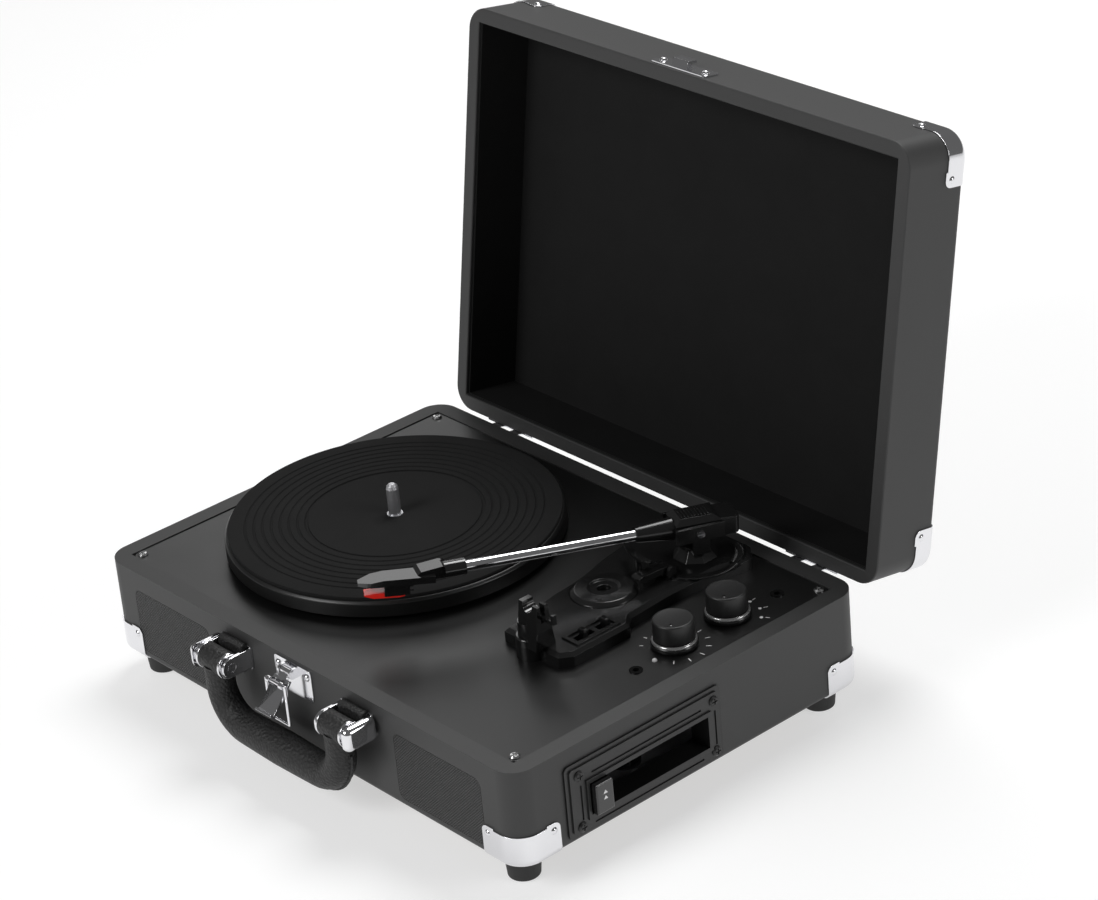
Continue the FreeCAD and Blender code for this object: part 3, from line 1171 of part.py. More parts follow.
def lid_lining():
    roof = LID_Z + LID_H - LID_ROOF_T
    t = LINING_T
    outer = box(-HALF_W + LID_WALL_T, HALF_W - LID_WALL_T, -HALF_D + LID_WALL_T, HALF_D - LID_WALL_T, LID_Z + 2, roof)
    inner = box(-HALF_W + LID_WALL_T + t, HALF_W - LID_WALL_T - t, -HALF_D + LID_WALL_T + t, HALF_D - LID_WALL_T - t,
                LID_Z + 1, roof - t)
    return opened(outer.cut(inner))


def lid_corners():
    top = LID_Z + LID_H
    grown = rounded(-HALF_W - CAP_T, HALF_W + CAP_T, -HALF_D - CAP_T, HALF_D + CAP_T, LID_Z, top + CAP_T,
                    CORNER_R + CAP_T)
    grown = round_level(grown, top + CAP_T, EDGE_R + CAP_T)
    cap = corner_cap(lid_block(), grown, top + 5, top - LID_CAP_RISE)
    return opened(group([placed(cap.copy(), sx, sy) for sx, sy in CORNERS]))


def lid_corner_nails():
    nails = corner_nails(LID_Z + LID_H - LID_CAP_RISE + NAIL_INSET)
    return opened(group([placed(n.copy(), sx, sy) for sx, sy in CORNERS for n in nails]))


def lid_catch():
    y = -HALF_D
    z0 = LID_Z + CATCH_UP
    plate = box(LATCH_X - CATCH_W / 2, LATCH_X + CATCH_W / 2, y - PLATE_T, y, z0, z0 + CATCH_H)
    plate = plate.makeFillet(2.0, [e for e in plate.Edges if is_along(e, "y")])
    front = y - HOOK_OUT
    hook = side_prism([(y, HOOK_Z - 5), (front, HOOK_Z - 3), (front, HOOK_Z + 3.5), (front + HOOK_T, HOOK_Z + 3.5),
                       (front + HOOK_T, HOOK_Z), (y, HOOK_Z)], LATCH_X - 6, LATCH_X + 6)
    rivets = []
    for s in (-1, 1):
        head = Part.makeSphere(2.4, V(LATCH_X + s * (CATCH_W / 2 - 5), y - 0.2, z0 + CATCH_H / 2))
        rivets.append(head.common(box(-60, 60, y - 5, y - 0.5, 0, 400)))
    return opened(fuse([plate, hook] + rivets))


def hinge_lid_leaves():
    leaf = hinge_leaf(1, True)
    return opened(group([leaf, mirrored_x(leaf)]))


NODES = {
    "base_case": base_case, "base_bottom": base_bottom, "base_corners": base_corners,
    "base_corner_nails": base_corner_nails, "feet": feet, "case_screws": case_screws,
    "speaker_grilles": speaker_grilles, "speaker_drivers": speaker_drivers, "deck_plate": deck_plate,
    "platter": platter, "slip_mat": slip_mat, "spindle": spindle,
    "platter_bush": platter_bush, "drive_belt": drive_belt, "platter_motor": platter_motor,
    "motor_pulley": motor_pulley, "tonearm_plinth": tonearm_plinth, "adaptor_45": adaptor_45,
    "pivot_base": pivot_base, "tonearm_yoke": tonearm_yoke, "pivot_screws": pivot_screws,
    "arm_housing": arm_housing, "arm_collar": arm_collar, "arm_tube": arm_tube, "headshell": headshell,
    "cartridge": cartridge, "stylus": stylus, "arm_rest": arm_rest, "arm_clip": arm_clip,
    "lift_bar": lift_bar, "cue_lever": cue_lever,
    "speed_slider": lambda: slider(SPEED_Y), "auto_stop_slider": lambda: slider(STOP_Y),
    "volume_knob": lambda: knob_with_shaft(VOLUME_Y), "function_knob": lambda: knob_with_shaft(FUNCTION_Y),
    "panel_controls": panel_controls, "input_jacks": input_jacks, "power_led": power_led,
    "cassette_bezel": cassette_bezel, "eject_key": eject_key, "cassette_chassis": cassette_chassis,
    "supply_hub": lambda: cassette_hub(hub_places()[0]), "take_up_hub": lambda: cassette_hub(hub_places()[1]),
    "main_board": main_board, "rear_panel": rear_panel, "rear_sockets": rear_sockets,
    "handle_brackets": handle_brackets, "handle_pins": handle_pins, "handle_grip": handle_grip,
    "latch_plate": latch_plate, "latch_lever": latch_lever, "latch_bail": latch_bail,
    "hinge_base_leaves": hinge_base_leaves, "hinge_pins": hinge_pins, "hinge_lid_leaves": hinge_lid_leaves,
    "lid_shell": lid_shell, "lid_lining": lid_lining, "lid_corners": lid_corners,
    "lid_corner_nails": lid_corner_nails, "lid_catch": lid_catch,
}

os.makedirs("parts", exist_ok=True)
for name, make in NODES.items():
    shape = make()
    assert shape.isValid() and shape.Volume > 0, name
    save(name, shape)
print(len(NODES), "nodes")
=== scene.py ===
"""Finished pieces, finishes and studio stage for a suitcase record player."""

import json
import math

import bmesh
import bpy
from mathutils import Matrix, Vector

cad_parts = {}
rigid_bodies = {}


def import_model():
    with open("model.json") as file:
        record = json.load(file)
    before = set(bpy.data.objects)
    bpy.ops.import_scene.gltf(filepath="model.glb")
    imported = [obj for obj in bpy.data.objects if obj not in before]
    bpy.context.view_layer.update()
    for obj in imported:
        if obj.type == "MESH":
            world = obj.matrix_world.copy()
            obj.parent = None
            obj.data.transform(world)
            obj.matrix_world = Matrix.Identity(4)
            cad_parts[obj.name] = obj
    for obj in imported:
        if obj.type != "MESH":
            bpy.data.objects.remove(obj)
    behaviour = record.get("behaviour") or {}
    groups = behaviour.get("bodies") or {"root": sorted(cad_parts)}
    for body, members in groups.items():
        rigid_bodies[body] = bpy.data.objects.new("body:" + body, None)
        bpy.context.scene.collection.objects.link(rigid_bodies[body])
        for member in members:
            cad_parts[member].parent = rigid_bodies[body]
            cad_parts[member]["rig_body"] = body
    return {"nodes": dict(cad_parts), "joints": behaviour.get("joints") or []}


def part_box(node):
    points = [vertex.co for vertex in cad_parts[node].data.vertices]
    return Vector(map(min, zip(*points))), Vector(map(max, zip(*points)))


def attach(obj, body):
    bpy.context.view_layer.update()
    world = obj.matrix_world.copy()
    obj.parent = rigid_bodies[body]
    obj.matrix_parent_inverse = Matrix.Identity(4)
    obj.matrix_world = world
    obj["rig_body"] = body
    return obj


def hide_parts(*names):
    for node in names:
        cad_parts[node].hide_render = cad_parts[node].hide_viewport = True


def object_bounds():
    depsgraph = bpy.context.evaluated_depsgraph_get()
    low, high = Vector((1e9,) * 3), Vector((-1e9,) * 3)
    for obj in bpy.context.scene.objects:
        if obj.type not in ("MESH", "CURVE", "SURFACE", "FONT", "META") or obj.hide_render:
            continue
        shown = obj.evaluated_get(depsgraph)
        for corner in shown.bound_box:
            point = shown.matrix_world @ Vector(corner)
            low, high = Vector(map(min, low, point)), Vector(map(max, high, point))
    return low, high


bl_info = {
    "name": "Suitcase Record Player",
    "version": (1, 0, 0),
    "blender": (4, 5, 0),
    "location": "3D View > Sidebar > Record Player",
    "description": "Builds the finished pieces of a suitcase record player around its frame",
    "category": "Object",
}

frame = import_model()
CAD_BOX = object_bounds()

MM = 0.001
LIMB_SIDES = 28
PRINT_T = 0.04 * MM  # thickness of printed marks
PRINT_LIFT = 0.03 * MM  # their middle above the face that they are printed on
BRACKET_HALF = 13.0 * MM  # half width of a handle bracket
GRIP_HALF = 10.0 * MM  # grip's middle above its lowest point
SIDE_SCREWS = 9 * MM  # screws this close to the right end are in the side face
ARM_LEAN = 2.6  # tip-up angle of the tonearm at rest, degrees

CAMERA_AROUND = 50.842  # degrees
CAMERA_ABOVE = 27.366
CAMERA_LEAN = -5.365
CAMERA_LENS = 114.69  # millimetres on a 36 mm sensor
CAMERA_PLACE = (1.353217, -1.038852, 1.027889)

WORLD_LIGHT = 0.13
FLOOR_GLOW = 0.55  # the floor's own light, which keeps it pale
FLOOR_DROP = 0.0002  # gap under the feet, metres

# name, place, width, and share of the key power
LAMPS = (
    ("key_light", (-0.3, -1.9, 1.5), 1.1, 1.5),
    ("top_light", (-0.35, 1.1, 2.1), 1.3, 2.2),
    ("side_light", (2.1, 0.9, 1.0), 0.9, 0.7),
    ("back_light", (-1.75, 1.15, 1.2), 0.9, 0.17),
)


# ---- shader arithmetic ----
class Value:
    """A shader socket that takes part in Python arithmetic."""

    def __init__(self, graph, socket):
        self.graph = graph
        self.socket = socket

    def maths(self, operation, first, second=0.0):
        return self.graph.add("ShaderNodeMath", {"operation": operation}, {0: first, 1: second})

    def __add__(self, other):
        return self.maths("ADD", self, other)

    def __radd__(self, other):
        return self.maths("ADD", other, self)

    def __sub__(self, other):
        return self.maths("SUBTRACT", self, other)

    def __rsub__(self, other):
        return self.maths("SUBTRACT", other, self)

    def __mul__(self, other):
        return self.maths("MULTIPLY", self, other)

    def __rmul__(self, other):
        return self.maths("MULTIPLY", other, self)

    def __pow__(self, other):
        return self.maths("POWER", self, other)

    def __gt__(self, other):
        return self.maths("GREATER_THAN", self, other)

    def __lt__(self, other):
        return self.maths("LESS_THAN", self, other)

    def sine(self):
        return self.maths("SINE", self)

    def lower(self, other):
        return self.maths("MINIMUM", self, other)


class Graph:
    """The nodes of one material."""

    def __init__(self, name):
        self.material = bpy.data.materials.new(name)
        self.material.use_nodes = True
        self.tree = self.material.node_tree
        self.tree.nodes.clear()

    def add(self, kind, settings=None, inputs=None, output=0):
        """Add a node: its settings first, then the values or links of its sockets."""
        node = self.tree.nodes.new(kind)
        for key, value in (settings or {}).items():
            if key == "stops":
                for stop, (place, colour) in zip(node.color_ramp.elements, value):
                    stop.position = place
                    stop.color = colour
            else:
                setattr(node, key, value)
        for key, value in (inputs or {}).items():
            if isinstance(value, Value):
                self.tree.links.new(value.socket, node.inputs[key])
            else:
                node.inputs[key].default_value = value
        return Value(self, node.outputs[output]) if node.outputs else None

    def place(self):
        """Object coordinates: the part's own frame, in metres."""
        return self.add("ShaderNodeTexCoord", output="Object")

    def axes(self):
        """The three coordinates as separate values."""
        split = self.add("ShaderNodeSeparateXYZ", None, {0: self.place()})
        outputs = split.socket.node.outputs
        return [Value(self, outputs[k]) for k in range(3)]

    def noise(self, scale, detail=3.0, rough=0.5, vector=None):
        inputs = {"Vector": vector or self.place(), "Scale": scale, "Detail": detail, "Roughness": rough}
        return self.add("ShaderNodeTexNoise", None, inputs)

    def cells(self, scale, feature="SMOOTH_F1"):
        inputs = {"Vector": self.place(), "Scale": scale}
        if feature == "SMOOTH_F1":
            inputs["Smoothness"] = 0.6
        return self.add("ShaderNodeTexVoronoi", {"feature": feature}, inputs)

    def blend(self, share, first, second):
        """Colour between two colours."""
        settings = {"data_type": "RGBA", "blend_type": "MIX"}
        return self.add("ShaderNodeMix", settings, {0: share, 6: first, 7: second}, 2)

    def bump(self, height, distance, strength):
        inputs = {"Height": height, "Distance": distance, "Strength": strength}
        return self.add("ShaderNodeBump", None, inputs)

    def finish(self, **inputs):
        """Close the graph with one surface shader."""
        sockets = {key.replace("_", " "): value for key, value in inputs.items()}
        shader = self.add("ShaderNodeBsdfPrincipled", None, sockets)
        self.add("ShaderNodeOutputMaterial", None, {"Surface": shader})
        return self.material


def grey(value):
    return (value, value, value, 1.0)


# ---- finishes ----
def leatherette(name="leatherette", grain=1.25, shade=0.010):
    """Black pebbled covering with a soft satin face and slightly worn high spots."""
    g = Graph(name)
    pebbles = g.cells(1 / (grain * 1.15 * MM))
    fine = g.cells(1 / (grain * 0.55 * MM))
    creases = g.noise(420 / grain, 4.0, 0.6)
    height = 1.0 - pebbles * 1.2 + (1.0 - fine) * 0.35 + creases * 0.4
    cloud = g.noise(16.0, 3.0, 0.55)
    share = (cloud * 0.5 + (1.0 - pebbles) * 0.6).lower(1.0)
    colour = g.blend(share, grey(shade * 0.45), grey(shade * 1.6))
    rough = 0.42 + cloud * 0.08 + pebbles * 0.16
    return g.finish(Base_Color=colour, Roughness=rough, Specular_IOR_Level=0.42,
                    Normal=g.bump(height, 0.5 * MM, 0.9))


def felt(name, shade, scale=1.0):
    """Short matt fibres with a faint nap."""
    g = Graph(name)
    fibres = g.noise(2600 / scale, 5.0, 0.7)
    nap = g.noise(38.0, 3.0, 0.6)
    colour = g.blend((fibres * 0.6 + nap * 0.5).lower(1.0), grey(shade * 0.6), grey(shade * 1.5))
    return g.finish(Base_Color=colour, Roughness=0.9 + nap * 0.08, Specular_IOR_Level=0.15,
                    Normal=g.bump(fibres, 0.12 * MM, 0.6))


def moulded(name, shade, rough, texture=0.05, scale=1500.0, clear=0.0):
    """Moulded plastic with a fine spark-eroded texture and faint handling marks."""
    g = Graph(name)
    spark = g.noise(scale, 3.0, 0.6)
    smudge = g.noise(22.0, 4.0, 0.62)
    colour = g.blend(smudge, grey(shade * 0.85), grey(shade * 1.15))
    return g.finish(Base_Color=colour, Roughness=rough - 0.04 + smudge * 0.09, Specular_IOR_Level=0.5,
                    Coat_Weight=clear, Coat_Roughness=0.08, Normal=g.bump(spark, texture * MM, 0.5))


def plated(name="chrome", shade=0.82, rough=0.055):
    """Bright plating with a slight orange peel and fine polish haze."""
    g = Graph(name)
    peel = g.noise(150.0, 2.0, 0.4)
    haze = g.noise(30.0, 4.0, 0.65)
    colour = g.blend(haze, (shade * 0.94, shade * 0.95, shade * 0.97, 1), (shade, shade, shade * 1.01, 1))
    return g.finish(Base_Color=colour, Metallic=1.0, Roughness=rough + haze * 0.05,
                    Normal=g.bump(peel, 0.05 * MM, 0.25))


def drawn_steel(name="steel", shade=0.62):
    """Turned steel with fine rings round its axis."""
    g = Graph(name)
    x, y, z = g.axes()
    squeezed = g.add("ShaderNodeCombineXYZ", None, {0: x * 60.0, 1: y * 60.0, 2: z * 5200.0})
    rings = g.noise(1.0, 3.0, 0.6, squeezed)
    return g.finish(Base_Color=g.blend(rings, grey(shade * 0.85), grey(shade * 1.1)), Metallic=1.0,
                    Roughness=0.16 + rings * 0.14, Normal=g.bump(rings, 0.02 * MM, 0.3))


def satin_metal(name, shade, rough, centre):
    """Anodised knob metal: a lathe-turned face and plain satin sides."""
    g = Graph(name)
    x, y = g.axes()[:2]
    radius = ((x - centre[0]) ** 2.0 + (y - centre[1]) ** 2.0) ** 0.5
    rings = (radius * (2 * math.pi / (0.32 * MM))).sine()
    speck = g.noise(3200.0, 2.0, 0.5)
    colour = g.blend(speck, grey(shade * 0.9), grey(shade * 1.12))
    return g.finish(Base_Color=colour, Metallic=0.75, Roughness=rough + speck * 0.06,
                    Normal=g.bump(rings * 0.3 + speck, 0.012 * MM, 0.5))


def speaker_cloth(name="speaker_cloth"):
    """Open weave of two threads crossing on the slant, over a dark backing."""
    g = Graph(name)
    x, _, z = g.axes()
    pitch = 2 * math.pi / (1.7 * MM)
    one = ((x + z) * pitch).sine()
    two = ((x - z) * pitch).sine()
    thread = (one * 0.5 + 0.5) * (two * 0.5 + 0.5)
    dust = g.noise(300.0, 3.0, 0.6)
    colour = g.blend((thread * 1.3 + dust * 0.2).lower(1.0), grey(0.004), grey(0.13))
    return g.finish(Base_Color=colour, Roughness=0.6, Specular_IOR_Level=0.35,
                    Normal=g.bump(thread, 0.8 * MM, 1.0))


def rubber(name="foot_rubber", shade=0.018):
    g = Graph(name)
    bloom = g.noise(90.0, 4.0, 0.6)
    colour = g.blend(bloom, grey(shade * 0.8), grey(shade * 1.5))
    return g.finish(Base_Color=colour, Roughness=0.62 + bloom * 0.12,
                    Normal=g.bump(g.noise(1300.0), 0.05 * MM, 0.4))


def red_plastic(name="stylus_red"):
    g = Graph(name)
    cloud = g.noise(120.0, 2.0, 0.5)
    colour = g.blend(cloud, (0.72, 0.012, 0.008, 1), (0.9, 0.03, 0.016, 1))
    return g.finish(Base_Color=colour, Roughness=0.24 + cloud * 0.05, Subsurface_Weight=0.15,
                    Subsurface_Scale=0.002, Coat_Weight=0.3)


def fibreboard(name="fibreboard"):
    g = Graph(name)
    fibres = g.noise(900.0, 5.0, 0.7)
    colour = g.blend(fibres, (0.05, 0.036, 0.024, 1), (0.12, 0.09, 0.06, 1))
    return g.finish(Base_Color=colour, Roughness=0.8, Normal=g.bump(fibres, 0.1 * MM, 0.5))


def circuit_green(name="circuit_board"):
    g = Graph(name)
    tracks = g.cells(260.0, "F1")
    return g.finish(Base_Color=g.blend(tracks, (0.01, 0.07, 0.03, 1), (0.02, 0.16, 0.07, 1)), Roughness=0.4)


def paint(name, colour, rough=0.5):
    """Printed marks and small lenses, with a slightly uneven ink."""
    g = Graph(name)
    ink = g.noise(900.0, 3.0, 0.6)
    dim = tuple(c * 0.88 for c in colour[:3]) + (1.0,)
    return g.finish(Base_Color=g.blend(ink, dim, colour), Roughness=rough)


def screw_metal(name="screw_metal"):
    """Bright screws, with blackened ones in the right side face."""
    g = Graph(name)
    x = g.axes()[0]
    side = x > CAD_BOX[1].x - SIDE_SCREWS
    wear = g.noise(400.0, 3.0, 0.6)
    colour = g.blend(side, g.blend(wear, grey(0.45), grey(0.7)), grey(0.012))
    return g.finish(Base_Color=colour, Metallic=1.0 - side, Roughness=0.18 + wear * 0.1 + side * 0.15)


def brass(name="turned_brass"):
    g = Graph(name)
    turn = g.noise(600.0, 3.0, 0.6)
    return g.finish(Base_Color=g.blend(turn, (0.5, 0.36, 0.14, 1), (0.72, 0.55, 0.26, 1)), Metallic=1.0,
                    Roughness=0.25 + turn * 0.12)


FINISHES = {
    "leatherette": leatherette,
    "grip_leather": lambda: leatherette("grip_leather", 1.5, 0.013),
    "lining_felt": lambda: felt("lining_felt", 0.012),
    "mat_felt": lambda: felt("mat_felt", 0.012, 1.4),
    "deck_plastic": lambda: moulded("deck_plastic", 0.006, 0.34, 0.02),
    "arm_plastic": lambda: moulded("arm_plastic", 0.008, 0.20, 0.008),
    "gloss_plastic": lambda: moulded("gloss_plastic", 0.006, 0.14, 0.006, 600.0, 0.5),
    "bezel_plastic": lambda: moulded("bezel_plastic", 0.012, 0.36, 0.04),
    "chrome": plated,
    "steel": drawn_steel,
    "screw_metal": screw_metal,
    "speaker_cloth": speaker_cloth,
    "foot_rubber": rubber,
    "belt_rubber": lambda: rubber("belt_rubber", 0.03),
    "stylus_red": red_plastic,
    "fibreboard": fibreboard,
    "circuit_board": circuit_green,
    "print_white": lambda: paint("print_white", grey(0.8)),
    "lamp_lens": lambda: paint("lamp_lens", grey(0.62), 0.25),
    "turned_brass": brass,
}


def finish(name):
    """The finish of that name, made the first time that it is asked for."""
    return bpy.data.materials.get(name) or FINISHES[name]()


# ---- mesh helpers ----
def centre_of(node):
    low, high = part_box(node)
    return (low + high) / 2


def keep(bm, name, body, material, replaces=(), smooth=40.0, modifiers=()):
    """Turn a bmesh into a piece that rides on a body."""
    bmesh.ops.recalc_face_normals(bm, faces=bm.faces)
    mesh = bpy.data.meshes.new(name)
    bm.to_mesh(mesh)
    bm.free()
    mesh.shade_smooth()
    mesh.set_sharp_from_angle(angle=math.radians(smooth))
    piece = bpy.data.objects.new(name, mesh)
    bpy.context.scene.collection.objects.link(piece)
    mesh.materials.append(finish(material) if isinstance(material, str) else material)
    for kind, settings in modifiers:
        modifier = piece.modifiers.new(kind.title(), kind)
        for key, value in settings.items():
            setattr(modifier, key, value)
    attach(piece, body)
    if replaces:
        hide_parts(*replaces)
    return piece


def soften(node, material, width, segments=3, angle=28.0):
    """Stand a copy of a CAD node in its place, with its sharp edges rounded."""
    source = frame["nodes"][node]
    bm = bmesh.new()
    bm.from_mesh(source.data)
    bmesh.ops.remove_doubles(bm, verts=bm.verts, dist=1e-6)
    bmesh.ops.dissolve_limit(bm, angle_limit=math.radians(0.6), verts=bm.verts, edges=bm.edges,
                             use_dissolve_boundaries=False)
    corner = math.radians(angle)
    sharp = [e for e in bm.edges if len(e.link_faces) == 2 and e.calc_face_angle(0.0) > corner]
    bevel(bm, sharp, width * MM, segments)
    weighted = ("WEIGHTED_NORMAL", {"keep_sharp": True})
    return keep(bm, "finished_" + node, source["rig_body"], material, (node,), 50.0, [weighted])


def recoat(node, material):
    """Give a CAD node that stays as it is a better finish."""
    for slot in frame["nodes"][node].material_slots:
        slot.material = finish(material)


def turned(name, outline, centre, body, material, replaces=(), steps=96, smooth=40.0):
    """Full turn of an outline of (radius, height) about an upright line."""
    bm = bmesh.new()
    verts = [bm.verts.new((r, 0.0, z)) for r, z in outline]
    edges = [bm.edges.new(pair) for pair in zip(verts, verts[1:])]
    bmesh.ops.spin(bm, geom=verts + edges, cent=(0, 0, 0), axis=(0, 0, 1), angle=2 * math.pi, steps=steps,
                   use_merge=True)
    bmesh.ops.remove_doubles(bm, verts=bm.verts, dist=1e-7)
    bmesh.ops.translate(bm, vec=centre, verts=bm.verts)
    return keep(bm, name, body, material, replaces, smooth)


def matrix_of(columns):
    """Matrix with three axes and a place as its columns."""
    matrix = Matrix.Identity(4)
    for column, values in enumerate(columns):
        for row in range(3):
            matrix[row][column] = values[row]
    return matrix


def station(centre, side, up, half_side, half_up):
    """Matrix that puts a unit circle at a place on a limb, with two half widths."""
    side = Vector(side).normalized()
    up = Vector(up).normalized()
    return matrix_of((side * half_side, up * half_up, side.cross(up), centre))


def limb(stations, sides=LIMB_SIDES):
    """Closed skin through a row of rings."""
    bm = bmesh.new()
    bmesh.ops.create_circle(bm, cap_ends=True, radius=1.0, segments=sides, matrix=stations[0])
    edges = list(bm.edges)
    for last, following in zip(stations, stations[1:]):
        out = bmesh.ops.extrude_edge_only(bm, edges=edges)["geom"]
        verts = {v for v in out if isinstance(v, bmesh.types.BMVert)}
        edges = [e for e in out if isinstance(e, bmesh.types.BMEdge) and set(e.verts) <= verts]
        bmesh.ops.transform(bm, matrix=following @ last.inverted(), verts=list(verts))
    bmesh.ops.edgeloop_fill(bm, edges=edges)
    return bm


def add_block(bm, low, high, turn=None):
    """Add an upright block between two corners, turned by a matrix."""
    low = Vector(low)
    high = Vector(high)
    size = high - low
    place = Matrix.Translation((low + high) / 2) @ Matrix.Diagonal((*size, 1.0))
    bmesh.ops.create_cube(bm, size=1.0, matrix=(turn @ place) if turn else place)


def bevel(bm, edges, width, segments):
    bmesh.ops.bevel(bm, geom=edges, offset=width, offset_type="OFFSET", segments=segments, profile=0.5,
                    affect="EDGES", clamp_overlap=True, material=-1)


def round_edges(bm, width, segments=2):
    bevel(bm, list(bm.edges), width, segments)


# ---- settings ----
class CaseSettings(bpy.types.PropertyGroup):
    """Radii of the edges of the covered boxes and the plated corners."""

    wrap_edge: bpy.props.FloatProperty(
        name="Wrap edge", description="Radius of the covering where it turns over an edge, in millimetres",
        default=1.3, min=0.2, max=3.0)
    sheet_edge: bpy.props.FloatProperty(
        name="Sheet edge", description="Radius on the edges of the plated corners, in millimetres",
        default=0.3, min=0.05, max=0.6)


class HandleSettings(bpy.types.PropertyGroup):
    """Sizes of the carrying handle's grip."""

    middle_radius: bpy.props.FloatProperty(
        name="Middle radius", description="Half thickness of the grip in the middle of its bar",
        default=10.4 * MM, unit="LENGTH")
    leg_radius: bpy.props.FloatProperty(
        name="Leg radius", description="Half thickness of the grip near its barrels",
        default=8.6 * MM, unit="LENGTH")
    bend_radius: bpy.props.FloatProperty(
        name="Bend radius", description="Radius of the grip's centre line where it turns into the bar",
        default=21.0 * MM, unit="LENGTH")


class StageSettings(bpy.types.PropertyGroup):
    """Light and floor of the studio."""

    key_power: bpy.props.FloatProperty(
        name="Key power", description="Power of the main soft light", default=16.0, min=0.0, unit="POWER")
    floor_colour: bpy.props.FloatVectorProperty(
        name="Floor", description="Colour of the floor", subtype="COLOR", size=4, default=grey(0.5))


# ---- pieces ----
class RECORDPLAYER_OT_case(bpy.types.Operator):
    """Cover the base and the lid, and line the lid"""

    bl_idname = "record_player.case"
    bl_label = "Covered case and lid"

    def execute(self, context):
        edge = context.scene.record_player_case.wrap_edge
        soften("base_case", "leatherette", edge, 4)
        soften("lid_shell", "leatherette", edge, 4)
        soften("lid_lining", "lining_felt", 0.4, 2)
        recoat("base_bottom", "fibreboard")
        soften("feet", "foot_rubber", 0.5)
        return {"FINISHED"}


class RECORDPLAYER_OT_corners(bpy.types.Operator):
    """Plate the corner caps, their nails and the screws"""

    bl_idname = "record_player.corners"
    bl_label = "Plated corners"

    def execute(self, context):
        edge = context.scene.record_player_case.sheet_edge
        for node in ("base_corners", "lid_corners"):
            soften(node, "chrome", edge, 2)
        for node in ("base_corner_nails", "lid_corner_nails"):
            recoat(node, "chrome")
        recoat("case_screws", "screw_metal")
        return {"FINISHED"}


